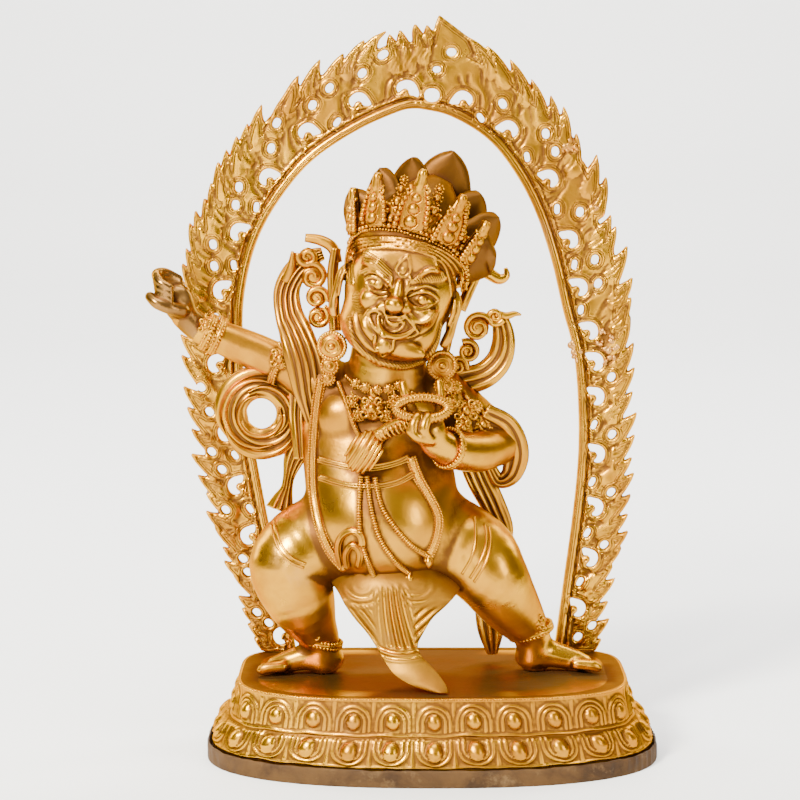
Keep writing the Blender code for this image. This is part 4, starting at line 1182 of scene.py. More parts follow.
def foot(body, ankle, way):
    """A bare foot on the floor. Way is 1 where the toes point to the viewer's right."""
    x, y = ankle
    sole = ((0, 0, 14, 13), (14, -1, 13, 11), (30, -3, 9.5, 8.5), (40, -4, 7.5, 6))
    body.tube([(x + ahead * way, y + side, z, radius) for ahead, side, z, radius in sole], 5)
    body.ball((x - 4 * way, y, 10), (12, 10, 9.5), blend=5)
    for k in range(5):
        long = 50 - 3.2 * k
        spread = y - 13 + 5.2 * k
        size = 4.6 if k == 0 else 3.6
        toe = ((33, 1, 7.5, size), (long - 4, 0, 6.4, size), (long, 0, 4.6, size * 0.9))
        body.tube([(x + ahead * way, spread + side, z, radius) for ahead, side, z, radius in toe], 1.2)
        body.ball((x + (long + 1) * way, spread, 6.0), (2.6, 2.6, 1.8), blend=0.6)
    # Flat pads under the heel and the ball of the foot
    for step in (0, 34):
        body.column(((x + step * way, y - 1, 0.2, 9, 7), (x + step * way, y - 1, 9.6, 7, 5)), 1.5)


def build_body():
    body = Field((-222, -74, -1.5), (148, 52, 292), BODY_STEP)
    body.column(TORSO, 4)
    body.tube(((-38, -4, 232, 34), (-36, -8, 252, 31), (-34, -12, 280, 28)), 6)
    for rows in (RIGHT_LEG, LEFT_LEG):
        body.tube(rows, 9)
    for rows in (RIGHT_ARM, LEFT_UPPER_ARM, LEFT_FOREARM):
        body.tube(rows, 6)
    # Chest, belly, seat, knees and calves
    for x, z in ((-68, 213), (-19, 211)):
        body.ball((x, -17, z), (25, 18, 21), blend=6)
    body.ball((-40, -30, 128), (46, 33, 40), blend=14)
    for x in (-54, -14):
        body.ball((x, 22, 112), (34, 26, 30), blend=8)
    for centre, radii in KNEES_AND_CALVES:
        body.ball(centre, radii, blend=8)
    # Collar bones
    body.tube(((-74, -18, 236, 2.6), (-58, -26, 232, 3), (-44, -25, 229, 2)), 4)
    body.tube(((-10, -20, 232, 2.6), (-24, -26, 230, 3), (-36, -25, 229, 2)), 4)
    foot(body, (-88, -1), -1)
    foot(body, (84, 8), 1)
    return body


def build_hands():
    fist = Field((-238, -26, 272), (-183, 26, 338), HEAD_STEP)
    fist.tube(((-188, 6, 281, 11.5), (-196, 4, 288, 11), (-201, 4, 296, 11.5)), 3)
    fist.ball((-204, 5, 302), (12.5, 8.5, 14), rotation("Y", -12), 4)
    for k in range(4):
        lift = 4.4 * k
        knuckles = ((-199 - 0.4 * lift, 9, 306 + lift, 4.2), (-208 - 0.5 * lift, 5, 313 + 0.9 * lift, 4.2))
        bent = ((-217 - 0.25 * lift, -3, 311 + lift, 4.0), (-216, -11, 305 + lift, 3.7))
        fist.tube((*knuckles, *bent, (-209, -12, 301 + lift, 3.4)), 0.9)
    fist.tube(((-200, -5, 295, 6), (-209, -11, 298, 5.2), (-219, -13, 302, 4.6), (-225, -9, 307, 4)), 1.2)
    hand = Field((-36, -96, 184), (30, -42, 254), HEAD_STEP)
    hand.tube(((10, -50, 192, 12), (2, -58, 199, 11), (-4, -62, 206, 12)), 3)
    hand.ball((-5, -63, 209), (13.5, 8.5, 13), rotation("Y", -8), 4)
    for rows in LEFT_FINGERS:
        hand.tube(rows, 0.9)
    return fist, hand


# The face, by pixels of the photograph: each path is laid on the head
BROWS = (
    ((361, 272), (371, 269), (381, 273), (389, 282), (394, 290)),
    ((410, 277), (413, 282), (421, 275), (430, 270), (440, 272), (446, 278)),
)
UPPER_LIDS = (
    ((365, 279), (372, 276.5), (381, 280), (391, 290)),
    ((406, 298), (414, 293.5), (424, 291.5), (432, 294), (439, 300)),
)
LID_CREASES = (
    ((364, 274), (373, 272), (383, 277), (391, 286)), ((410, 293), (418, 287.5), (428, 286), (438, 290)),
)
LOWER_LIDS = (
    ((365, 279), (368, 287), (376, 292.5), (386, 292), (391, 290)),
    ((406, 298.5), (411, 305), (420, 308.5), (430, 305.5), (439, 300)),
)
EYES = ((377.5, 285), (421.5, 300))
LOWER_LIP = ((378, 316), (379, 326), (385, 333.5), (395, 337), (405, 335), (414, 329))
OUTER_LIP = ((369, 314), (372, 324), (380, 333), (392, 340.5), (408, 338.5), (419, 333))
TONGUE = ((382, 320), (384, 328), (392, 331.5), (400, 329.5), (404, 323))
CHEEK_LINES = (
    ((379, 308), (370, 311), (366, 318), (369, 328), (377, 337)),
    ((410, 314), (417, 321), (426, 321), (434, 313), (437, 308)),
)
SMILE = ((383, 339), (398, 342), (412, 339), (426, 333), (435, 325), (440, 312))
BEARD_RIM = (
    (349, 320), (354, 338), (363, 350), (378, 360), (398, 365), (414, 363), (427, 355), (436, 342),
    (441, 324),
)
THIRD_EYE = ((408, 256), (401, 261), (396, 269), (403, 277), (410, 272), (410, 263), (408, 256))
LOW_HAIR = (
    (353, 284), (353, 265), (361, 251), (388, 247.5), (422, 252.5), (441, 262), (449, 280), (451, 296),
)
HIGH_HAIR = (
    (345, 280), (346, 256), (355, 241), (388, 237), (423, 243), (449, 254), (464, 270), (467, 290),
)
HATCHED = (
    (BEARD_RIM, 5.2), (((366, 257), (378, 263), (388, 272)), 5.5),
    (((419, 281), (430, 278), (441, 277)), 4.2), (((356, 298), (361, 310)), 5.0),
    (((423, 326), (431, 322), (436, 314)), 4.0),
)
# Rims and lobes of the ears, by places right, front and up of the head's middle, with radii and blends
EAR_TUBES = (
    (((44, 4, 16, 3), (48, 6, 8, 3.4), (48, 6, -6, 3.2), (47, 6, -18, 4.2), (45, 6, -24, 3.4)), 1.5),
    (((45, 10, 12, 1.6), (46, 11, 2, 1.8), (45, 10, -8, 1.4)), 0.8),
)


class Head(Field):
    """The head's distance field, on which features are laid by pixels of the photograph."""

    def lay(self, pixels, radii, proud=0.0, blend=1.6, cut_out=False):
        path = curve(pixels, 5)
        width = np.interp(np.linspace(0, 1, len(path)), np.linspace(0, 1, len(radii)), radii)
        self.tube(np.column_stack([self.hit(path, proud), width]), blend, 1, cut_out)

    def dome(self, pixel, radii, proud=0.0, tilt=0.0, blend=1.6, cut_out=False):
        axes = HEAD_AXES @ rotation("Y", tilt)
        self.ball(self.hit([pixel], proud)[0], radii, axes, blend, cut_out)


def model_eyes(head):
    """Puffed cheeks and brow, deep sockets, eyeballs with pupils, brows and lids."""
    head.dome((371, 299), (8.5, 5.5, 8), 0, 0, 5)
    head.dome((424, 316), (9.5, 6, 7.5), 0, 0, 5)
    head.dome((385, 259), (18, 4.5, 9), -1, 0, 6)
    head.dome((417, 262), (18, 4.5, 9), -1, 0, 6)
    head.dome(EYES[0], (10.5, 5, 7), 1, 12, 3, True)
    head.dome(EYES[1], (12.5, 5, 7), 1, 5, 3, True)
    for pixel, wide, tilt in ((EYES[0], 8.8, 14), (EYES[1], 10, 3)):
        head.dome(pixel, (wide, 5.2, 5.6), -2.2, tilt, 1.0)
        head.dome((pixel[0] + 1, pixel[1]), (3.6, 1.2, 3.6), 0.1, 0, 0.3)
    for path in BROWS:
        head.lay(path, (1.0, 2.0, 2.4, 2.4, 1.2), 0.8, 1.4)
    head.lay(((365, 262), (378, 264), (389, 274)), (2.0, 4.5, 2.0), -0.6, 3)
    head.lay(((418, 281), (430, 278), (443, 278)), (1.5, 4.0, 2.0), -0.6, 3)
    for path in UPPER_LIDS:
        head.lay(path, (0.8, 1.7, 1.8, 0.9), 0.8, 0.8)
    for path in LID_CREASES:
        head.lay(path, (0.6, 1.1, 1.1, 0.6), 0.5, 0.6)
    for path in LOWER_LIDS:
        head.lay(path, (0.7, 1.3, 1.4, 0.7), 0.4, 0.8)
        head.lay([(u, v + 4) for u, v in path[1:-1]], (0.5, 0.9, 0.5), 0.2, 0.6)


def model_nose(head):
    """Bridge, tip, wings and nostrils, and the frown above them."""
    head.lay(((399, 283), (397.5, 292), (395, 302)), (3.0, 4.2, 5.6), 1.0, 3)
    head.dome((394, 305), (7.4, 6.5, 6.4), 0.4, 0, 3)
    head.dome((383.5, 306.5), (5.4, 5.0, 4.8), -0.4, 0, 2)
    head.dome((405, 308), (5.6, 5.0, 4.8), -0.4, 0, 2)
    head.dome((388.5, 312.5), (2.4, 3.0, 1.4), 0.6, 0, 0.8, True)
    head.dome((400, 313.5), (2.4, 3.0, 1.4), 0.6, 0, 0.8, True)
    for u, v in ((391, 281), (407, 285)):
        head.lay(((u, v - 5), (u + 0.5, v), (u - 1.0, v + 5)), (0.8, 1.6, 0.8), 0.4, 1)


def model_mouth(head):
    """A grin with a curled tongue, and the moustache above it."""
    head.dome((393, 325), (11, 5, 7), 1.0, -3, 1.5, True)
    head.dome((392, 326), (8.6, 4.6, 5.2), -1.2, 0, 0.8)
    head.lay(TONGUE, (0.7, 1.1, 1.2, 1.1, 0.7), 0.9, 0.6)
    head.lay(((385, 321.5), (391, 325), (399, 324.5)), (0.7, 1.1, 0.7), 0.2, 0.5)
    head.lay(LOWER_LIP, (1.0, 1.9, 2.3, 2.5, 2.2, 1.2), 1.2, 1.2)
    head.lay(OUTER_LIP, (0.8, 1.4, 1.6, 1.6, 1.4, 0.8), 0.6, 1.0)
    head.lay(((369, 313), (375, 310.5), (381, 314)), (0.8, 1.7, 1.0), 0.8, 1)
    head.lay(((405, 316), (411, 322), (418, 332)), (0.8, 1.7, 1.0), 1.0, 1)
    for drop in (0, 3, 6):
        path = ((383 + drop / 2, 311.5 + drop), (389, 316.5 + drop), (397, 317 + drop), (405, 315 + drop))
        head.lay(path, (0.6, 1.2, 1.2, 0.6), 0.9, 0.6)
    for path in CHEEK_LINES:
        head.lay(path, (1.0, 1.8, 2.0, 1.8, 1.0), 0.2, 2.2)
    head.lay(((361, 316), (365, 327), (372, 337), (378, 344)), (1.2, 2.6, 2.6, 1.2), 0.2, 2.2)
    head.lay(((354, 314), (358, 331), (368, 345), (379, 353)), (1.0, 2.6, 2.8, 1.0), 0.0, 2.0)


def model_chin(head):
    """A smooth chin under the smile, the flap at its left and the beard that rims the jaw."""
    head.dome((403, 349), (18, 6.5, 7.6), -1.0, 0, 3)
    head.lay(SMILE, (0.8, 1.2, 1.3, 1.2, 0.8), 0.4, 0.8, True)
    head.dome((384, 345), (6.4, 3.4, 7.4), 0.6, 0, 0.6)
    head.lay(((375.5, 336), (374.5, 344), (378, 352), (382.5, 357)), (1.2, 1.6, 1.5, 0.7), 1.4, 0.6)
    head.lay(((393.5, 342), (391.5, 350), (383, 357)), (1.2, 1.5, 0.7), 1.4, 0.6)
    head.lay(BEARD_RIM, (1.2, 3.6, 4.3, 4.4, 4.2, 3.4, 1.2), 0.2, 0.9)


def model_forehead(head):
    """Strands of hair under the crown, and the third eye."""
    low, high = np.array(LOW_HAIR), np.array(HIGH_HAIR)
    for share in np.linspace(0.02, 0.98, 4):
        head.lay(low + share * (high - low), (0.9, 1.15, 1.15, 1.15, 0.9), 0.9, 0.4)
    head.lay(THIRD_EYE, (0.9,) * 5, 0.4, 0.5)
    head.dome((403, 270.5), (2.3, 0.9, 3.2), 0.3, 0, 0.4)


def model_ears(head):
    for side in (-1, 1):
        for rows, blend in EAR_TUBES:
            head.tube([(*head_at(side * x, y, z), r) for x, y, z, r in rows], blend)


def build_head():
    head = Head((-88, -92, 244), (34, 36, 372), HEAD_STEP)
    head.ball(head_at(0, 0, 8), (44, 42, 47), HEAD_AXES)
    head.ball(head_at(0, 9, -21), (40, 34, 30), HEAD_AXES, 6)
    head.ball(head_at(0, 0, 42), (45, 40, 26), HEAD_AXES, 5)
    head.tube(((-34, -10, 262, 29), (-34, -12, 280, 29)), 6)
    for model in (model_eyes, model_nose, model_mouth, model_chin, model_forehead, model_ears):
        model(head)
    return head


def hatching(head, points):
    """One where fine lines are chased on the head, falling to nothing round it."""
    mask = np.zeros(len(points))
    for pixels, wide in HATCHED:
        gap = np.full(len(points), 99.0)
        for spot in head.hit(curve(pixels, 5)):
            gap = np.minimum(gap, np.linalg.norm(points - spot, axis=1))
        mask = np.maximum(mask, np.clip((wide - gap) / 1.2, 0, 1))
    return mask


def rosette(heap, centre, radius, look):
    """A domed disc with a ring and a border of beads."""
    axes = facing(look)
    centre = np.array(centre, float)
    heap.bead(centre, (radius, 0.32 * radius, radius), axes)
    out = axes[:, 1] * 0.3 * radius
    heap.bead(centre + out, (0.3 * radius, 0.3 * radius, 0.3 * radius), axes)
    heap.hoop(centre + 0.8 * out, axes[:, 1], 0.58 * radius, 0.11 * radius, 18, 6, 0.6)
    count = max(8, round(6.0 * radius / 2.2))
    for point in ring_path(centre, axes[:, 1], radius, count)[:-1]:
        heap.bead(point, np.full(3, 0.17 * radius + 0.25))


def spiral(heap, centre, radius, turns, start, look=(0, -1, 0), thick=2.0, hand=1):
    """A curled tube that winds in from start degrees."""
    axes = facing(look)
    t = np.linspace(0, 1, 26)
    angle = np.radians(start) + hand * 2 * np.pi * turns * t
    reach = radius * (1 - 0.82 * t)
    path = np.array(centre) + np.outer(reach * np.cos(angle), axes[:, 0])
    path = path + np.outer(reach * np.sin(angle), axes[:, 2]) + np.outer(1.5 * t, axes[:, 1])
    heap.tube(np.column_stack([path, thick * (1 - 0.45 * t)]), 7, 1.4, False, 1)


def teardrop(heap, root, tip, width):
    """A bud that hangs from root to tip."""
    root, tip = np.array(root, float), np.array(tip, float)
    t = np.linspace(0, 1, 9)
    radius = width * np.sin(np.pi * np.clip(t, 0.04, 0.96) ** 1.4) + 0.4
    path = root + np.outer(t, tip - root)
    heap.tube(np.column_stack([path, radius]), 10, 1.2, False, 2)


# Scarves: x, y, z, width
RIGHT_SCARF = ((-104, -6, 176, 15), (-104, -2, 196, 20), (-106, 3, 215, 22), (-105, 8, 238, 20))
RIGHT_TAIL = (
    (-106, 6, 236, 20), (-101, 7, 212, 22), (-104, 8, 192, 21), (-112, 9, 174, 17), (-116, 9, 160, 10),
    (-118, 9, 150, 10), (-121, 9, 141, 17), (-124, 9, 132, 23),
)
LEFT_SCARF = (
    (8, 2, 236, 18), (26, 4, 238, 23), (42, 5, 243, 22), (53, 6, 254, 21), (57, 6, 269, 19),
    (55, 7, 284, 15), (48, 7, 293, 9),
)
ELBOW_SCARF = (
    (40, -8, 212, 20), (58, -4, 200, 24), (67, 2, 180, 22), (64, 7, 162, 17), (54, 10, 156, 12),
    (47, 10, 168, 9),
)
BACK_SCARF = ((24, 18, 192, 18), (36, 18, 162, 22), (48, 20, 138, 21), (58, 22, 116, 17), (62, 22, 103, 8))
CALF_SCARF = (
    (34, 8, 112, 14), (40, 18, 100, 18), (44, 23, 86, 21), (47, 26, 64, 24), (48, 29, 40, 24),
    (49, 30, 24, 20), (50, 31, 8, 9),
)
SHOULDER_SCARF = (
    (-88, 12, 340, 10), (-98, 12, 336, 15), (-110, 10, 326, 19), (-117, 8, 310, 21), (-115, 2, 292, 23),
    (-109, -7, 277, 27), (-103, -13, 257, 30), (-98, -14, 235, 28), (-94, -13, 216, 22), (-93, -9, 198, 12),
)
STRAP_SCARF = ((-77, 2, 345, 8), (-80, 2, 325, 9), (-79, 0, 300, 9), (-78, -4, 279, 10))
EAR_SCARF = ((22, -4, 296, 9), (30, -1, 314, 9), (38, 1, 331, 9), (44, 2, 342, 9))
# Ribbons with their thickness, ridges, depth of the ridges, columns and ripple
SCARVES = (
    (RIGHT_SCARF, 4.5, 4, 1.1, 21, 0.5),
    (SHOULDER_SCARF, 4.5, 5, 1.4, 25, 0.6),
    (RIGHT_TAIL, 4.2, 4, 1.0, 21, 1.0),
    (LEFT_SCARF, 4.5, 3, 1.2, 21, 0.4),
    (ELBOW_SCARF, 4.2, 3, 1.0, 17, 0.4),
    (BACK_SCARF, 4.0, 4, 1.0, 19, 0.8),
    (CALF_SCARF, 4.0, 3, 1.0, 19, 0.8),
    (STRAP_SCARF, 5.0, 2, 0.9, 11, 0.0),
    (EAR_SCARF, 5.0, 2, 0.9, 11, 0.0),
)
# The ring of cloth below the raised arm, and its folds: reach, width, first and last degree
CLOTH_RING = (-138, 211)
CLOTH_FOLDS = ((33, 9, 20, 215), (27, 7, 60, 290), (21, 6, -60, 120), (31, 8, 200, 330), (16, 5, 100, 380))
# Curled ends beside the ears: centre, radius, first degree and hand
RIGHT_CURLS = (
    ((-96, 6, 322), 11, 60, 1), ((-93, 4, 305), 9, 200, -1), ((-92, 3, 290), 9, 120, 1),
    ((-100, 6, 338), 8, 20, -1),
)
LEFT_CURLS = (
    ((36, 2, 281), 12, 160, -1), ((50, 3, 290), 7, 200, 1), ((28, 2, 262), 9, 60, 1),
    ((20, 2, 250), 8, 200, -1),
)
# Rolled ends of the scarves, with their sides
ROLLED_ENDS = (
    (((-118, 9, 318, 5), (-113, 7, 330, 4.2), (-112, 5, 342, 1.2)), 10),
    (((50, 5, 292, 4), (58, 6, 290, 3.4), (66, 6, 292, 2.4), (71, 6, 291, 0.8)), 8),
    (((-76, 3, 333, 4), (-80, 4, 345, 4.6), (-90, 5, 351, 4.4), (-102, 5, 353, 3.4)), 10),
    (((20, 0, 335, 4.5), (32, 2, 331, 5), (44, 3, 325, 5), (53, 3, 320, 4.4), (59, 3, 323, 3),
      (58, 3, 329, 1.5)), 10),
)


def round_cloth_ring(reach, angle, y, width, squash=1.0):
    """Rows of a ribbon at a reach from the middle of the ring of cloth."""
    x, z = CLOTH_RING
    level = np.full(len(angle), y)
    return np.column_stack([x + reach * np.cos(angle), level, z + squash * reach * np.sin(angle), width])


def add_curls(heap, curls, turns, thick, share, depth):
    for centre, radius, start, hand in curls:
        spiral(heap, centre, radius, turns, start, thick=thick, hand=hand)
        heap.bead(np.array(centre) + (0, 2, 0), (radius * share, depth, radius * share))


def build_scarves(material):
    heap = Heap()
    for rows, thickness, ridges, depth, columns, ripple in SCARVES:
        heap.ribbon(rows, thickness, ridges=ridges, depth=depth, columns=columns, ripple=ripple)
    angle = 2 * np.pi * np.arange(25) / 24
    wide = 23 + 3 * np.sin(angle + 2.2)
    ring = round_cloth_ring(12 + wide / 2, angle, 9.0, wide)
    heap.ribbon(ring, 5.5, ridges=4, depth=0.7, dome=2.2, columns=31, ripple=1.4, closed=True)
    for reach, wide, first, last in CLOTH_FOLDS:
        sway = reach + 3.0 * np.sin(np.linspace(0, math.pi, 9))
        width = wide * np.sin(np.linspace(0.3, math.pi - 0.3, 9))
        fold = round_cloth_ring(sway, np.radians(np.linspace(first, last, 9)), 5.5, width, 0.98)
        heap.ribbon(fold, 3.5, ridges=1, depth=0.7, dome=1.6, columns=11)
    add_curls(heap, RIGHT_CURLS, 1.4, 3.2, 0.9, 3)
    add_curls(heap, LEFT_CURLS, 1.6, 2.8, 0.8, 2.4)
    for rows, sides in ROLLED_ENDS:
        heap.tube(rows, sides)
    add_piece("scarves_gilt", *heap.mesh(), material)


# The apron, by pixels of the photograph: height, left edge, right edge, depth y
APRON_ROWS = (
    (566, 322, 462, -36), (580, 330, 462, -46), (592, 338, 458, -50), (605, 345, 447, -50),
    (618, 354, 433, -50), (632, 366, 424, -51), (645, 375, 418, -54), (655, 381, 421, -58),
    (665, 387, 430, -63), (675, 395, 439, -68), (685, 411, 446, -72), (693, 434, 448, -75),
)
APRON_COLUMNS = 96


def apron_relief(u, v):
    """Pleats and swags of the waist cloth in pixels of the photograph, as a height in millimetres."""
    fall = np.clip((v - 586) / 8, 0, 1)
    middle = 392 + 0.10 * (v - 590) + 0.0016 * (v - 590) ** 2
    pleats = np.cos(2 * np.pi * (u - middle) / (5.6 + 0.045 * (v - 590))) * bump(u - middle, 26)
    height = 1.5 * pleats * fall * np.clip((652 - v) / 8, 0, 1)
    for cu, cv, wide in ((362, 586, 1.25), (416, 584, 1.2)):
        sag = np.hypot((u - cu) / wide, np.maximum(v - cv, -6))
        low = np.clip((v - cv + 2) / 8, 0, 1)
        near = np.clip(1.2 - np.abs(u - cu) / 26, 0, 1)
        height += 1.0 * np.cos(2 * np.pi * sag / 7.5) * bump(sag - 15, 15) * near * low
    sweep = (v - 590) * 0.62 + (u - 350) * -0.78
    left = np.clip((372 + 0.2 * (v - 600) - u) / 8, 0, 1) * np.clip((v - 602) / 8, 0, 1)
    height += 1.1 * np.cos(2 * np.pi * sweep / 7.5) * left
    sweep = (v - 590) * 0.75 + (u - 430) * 0.66
    right = np.clip((u - 412) / 6, 0, 1) * np.clip((v - 606) / 6, 0, 1) * np.clip((650 - v) / 6, 0, 1)
    height += 1.2 * np.cos(2 * np.pi * sweep / 7.0) * right
    bowl = np.hypot((u - 402) / 1.5, v - 632)
    height += 1.2 * np.cos(2 * np.pi * bowl / 6.0) * bump(bowl - 22, 13) * np.clip((v - 644) / 5, 0, 1)
    return height


def build_apron(material):
    """The waist cloth, whose pleats gather to a point on the plinth."""
    rows = curve(APRON_ROWS, 9)
    place, _ = pixel_rays([(0, 0)])
    across = np.linspace(-1, 1, APRON_COLUMNS)
    rings = []
    for v, left, right, depth in rows:
        u = (left + right) / 2 + across * (right - left) / 2
        _, rays = pixel_rays(with_column(u, v))
        bulge = 9 * (1 - across**2) * np.clip((700 - v) / 90, 0.2, 1)
        roll = np.where(v < 600, 34 * np.clip((600 - v) / 34, 0, 1) * np.abs(across) ** 3, 0)
        rim = np.clip((1 - np.abs(across)) * 14, 0, 1)
        front = depth - bulge + roll - apron_relief(u, np.full(len(u), v)) * rim
        back = depth - bulge + roll + 2.5 + 2.5 * rim
        one, two = (place + rays * ((y - place[1]) / rays[:, 1])[:, None] for y in (front, back))
        rings.append(np.vstack([one, two[::-1]]))
    heap = Heap()
    rings = np.array(rings)
    rings[..., 2] = np.maximum(rings[..., 2], 0.3)
    heap.sweep(rings)
    add_piece("apron_gilt", *heap.mesh(), material)


# The crown. Each leaf: angle round the head, height of its tip
CROWN_LEAVES = ((-74, 76), (-40, 93), (-2, 105), (34, 94), (68, 78))
# Widths of a leaf and radii of the finger on it, by share of its height
LEAF_WIDTHS = ((-0.1, 20), (0.1, 24), (0.35, 22), (0.6, 14), (0.85, 8), (1.0, 4))
LEAF_FINGER = ((0.56, 2.0), (0.68, 3.8), (0.8, 3.6), (0.92, 3.6), (1.0, 2.2))
# Rows of pearls and domes round the band: height above its edge, radius and degrees apart
PEARL_ROWS = ((-3.0, 1.25, 2.7), (0.6, 2.2, 4.6), (6.2, 3.0, 7.6), (12.4, 2.4, 7.6), (17.6, 1.9, 6.4))
# The knot of hair under the lobes: right, back and up of the head's middle, and radius
HAIR_KNOT = ((0, 4, 40, 37), (1, 7, 58, 35), (3, 10, 74, 29), (6, 12, 90, 19), (8, 13, 100, 8))
# Hair lobes behind the crown: tip to the right, back and up, and breadth
CREST_LOBES = (
    (-55, 0, 75, 1.0), (-38, 14, 97, 1.0), (-18, 24, 111, 1.05), (9, 28, 123.5, 1.35), (37, 22, 98, 1.1),
    (56, 12, 85, 1.0), (66, 2, 55, 1.0),
)


def crown_line(angle):
    """Height of the crown's lower edge above the head's middle: an arch over the forehead."""
    return 27 + 30 * max(math.cos(angle), 0) ** 0.7 + 12 * min(math.cos(angle), 0)


def crown_spot(angle, up, out=0.0):
    wide = 49 + out - 0.05 * up
    return head_at(wide * math.sin(angle), -4 + (41 + out - 0.10 * (up - 40)) * math.cos(angle), up)


def crown_look(angle, up=0.0):
    """The way out of the crown at an angle round the head."""
    return HEAD_AXES @ (math.sin(angle), -math.cos(angle), up)


def crown_leaf(heap, root, tip, look):
    root, tip = np.array(root, float), np.array(tip, float)
    axes = facing(look)
    rise = tip - root
    rows = [(*(root + rise * t), wide, *axes[:, 1]) for t, wide in LEAF_WIDTHS]
    heap.ribbon(rows, 4.5, ridges=1, depth=0.6, dome=1.5, columns=13, pitch=1.6)
    finger = [(*(root + rise * t + axes[:, 1] * 2.0), radius) for t, radius in LEAF_FINGER]
    heap.tube(finger, 12)
    for t, size in ((0.04, 5.4), (0.27, 4.8), (0.47, 3.9)):
        heap.bead(root + rise * t + axes[:, 1] * 3.8, (size, 3.4, size), axes)
        heap.hoop(root + rise * t + axes[:, 1] * 3.2, axes[:, 1], size + 1.0, 0.75)
    for side in (-1, 1):
        for t in np.linspace(0.0, 0.66, 8):
            half = np.interp(t, (0, 0.35, 0.6, 0.85), (12, 10.5, 7, 3.5))
            spot = root + rise * t + axes[:, 0] * side * half + axes[:, 1] * 2.4
            heap.bead(spot, np.full(3, 2.6 - 1.4 * t), axes)
        hook = root + rise * 0.62 + axes[:, 0] * side * 7.5 + axes[:, 1] * 1.5
        spiral(heap, hook, 3.6, 1.1, 90, look, 1.3, side)


def build_crown(material):
    rng = np.random.default_rng(3)
    heap = Heap()
    ring = []
    for angle in np.radians(np.arange(0, 361, 10)):
        up = crown_line(angle)
        ring.append((*crown_spot(angle, up, -3.5), 3.4))
    heap.tube(ring, 10, 2.0, True)
    wall = []
    for angle in np.radians(np.arange(-115, 116, 10)):
        up = crown_line(angle) + 9
        wall.append((*crown_spot(angle, up, -2.5), 20, *crown_look(angle)))
    heap.ribbon(wall, 4, ridges=0, depth=0, dome=0.5, columns=9)
    for angle, height in CROWN_LEAVES:
        t = math.radians(angle)
        root = crown_spot(t, crown_line(t) + 5, 1.5)
        tip = head_at(56 * math.sin(t), -4 + 45 * math.cos(t), height)
        crown_leaf(heap, root, tip, crown_look(t, 0.05))
    for row, (lift, size, pitch) in enumerate(PEARL_ROWS):
        for degrees in np.arange(-114 + row * 2.1, 115, pitch * 1.15):
            angle = math.radians(degrees)
            place = crown_spot(angle, crown_line(angle) + lift + rng.uniform(-0.5, 0.5), 1.2)
            full = size * rng.uniform(0.85, 1.15)
            heap.bead(place, np.full(3, full))
    for degrees in (-57, -21, 16, 51, 84):
        t = math.radians(degrees)
        for lift, size in ((20, 4.2), (30, 3.2), (37, 2.2)):
            place = crown_spot(t, crown_line(t) + lift * (1 if abs(degrees) < 80 else 0.7), 0.5)
            heap.bead(place, np.full(3, size))
            for step in ring_path(place, crown_look(t), size + 1.1, 8)[:-1]:
                heap.bead(step, np.full(3, 0.95))
    add_piece("crown_gilt", *heap.mesh(), material)


def build_crest(material):
    """The lobes of hair that stand behind the crown."""
    heap = Heap()
    heap.tube([(*head_at(right, -back, up), radius) for right, back, up, radius in HAIR_KNOT], 32, 2.0)
    for right, back, up, wide in CREST_LOBES:
        root = head_at(0.6 * right, -0.9 * back, 36)
        middle = head_at(0.86 * right, -1.1 * back, 0.5 * up + 24)
        tip = head_at(right, -back, up)
        face = HEAD_AXES @ unit(np.array((right / 60, -0.9, 0.1)))
        low, high = middle - root, tip - middle
        spots = (root, root + 0.6 * low, middle, middle + 0.6 * high, middle + 0.88 * high, tip)
        rows = [(*spot, breadth * wide) for spot, breadth in zip(spots, (34, 40, 39, 27, 14, 2))]
        heap.ribbon(rows, 6, face, ridges=0, depth=0, dome=4.5, columns=21)
    add_piece("crest_gilt", *heap.mesh(), material)


# Ornaments laid on the body, by pixels of the photograph
CORDS = (
    ((361, 477), (359, 508), (361, 539), (370, 567), (376, 580)),
    ((367, 477), (371, 508), (380, 539), (396, 562), (409, 573)),
    ((375, 478), (381, 505), (394, 526), (411, 545), (428, 556)),
)
CHEST_STRAPS = (
    ((321, 380), (317, 404), (314, 440), (313, 475), (315, 502), (321, 530), (331, 552), (343, 566)),
    ((411, 458), (418, 477), (428, 495), (438, 516), (436, 538), (428, 557)),
)
CHEST_BANDS = (
    ((318, 459), (345, 466), (372, 468), (396, 463), (412, 456)),
    ((319, 477), (345, 485), (372, 487), (398, 482), (419, 470)),
)
SASH_KNOT = (
    ((341, 567), (338, 548), (342, 536), (352, 531), (361, 536), (362, 547)),
    ((347, 567), (346, 554), (353, 545), (360, 553), (358, 567)),
)
COLLAR = (
    ((338, 382), (346, 402), (354, 424), (362, 440)), ((412, 392), (404, 412), (390, 430), (378, 444)),
)
NECKLACE = ((346, 376), (358, 386), (374, 391), (390, 390), (404, 384))
ROSETTES = ((356, 384), (366, 388), (377, 390.5), (389, 389.5), (399, 386))
# Plaques on the chest: pixel, size and how far they stand proud
CHEST_PLAQUES = (
    ((372, 408), 11, 2.5), ((352, 402), 6.5, 2.0), ((394, 402), 6.5, 2.0), ((358, 416), 5.5, 2.0),
    ((386, 416), 5.5, 2.0),
)
# Anklets, bracelets and armlets: centre, axis and radius
LIMB_RINGS = (
    ((-91, -4, 27), (0.22, 0, 1), 17.5), ((80, 3, 34), (-0.3, -0.1, 1), 18),
    ((-180, 7, 277), (-20, -2, 9), 14.2), ((-173, 7.5, 274), (-20, -2, 9), 14.8),
    ((-123, 9, 252), (-21, 2, 9), 17.6), ((12, -46, 190.5), (16, 16, -7), 15.6),
)
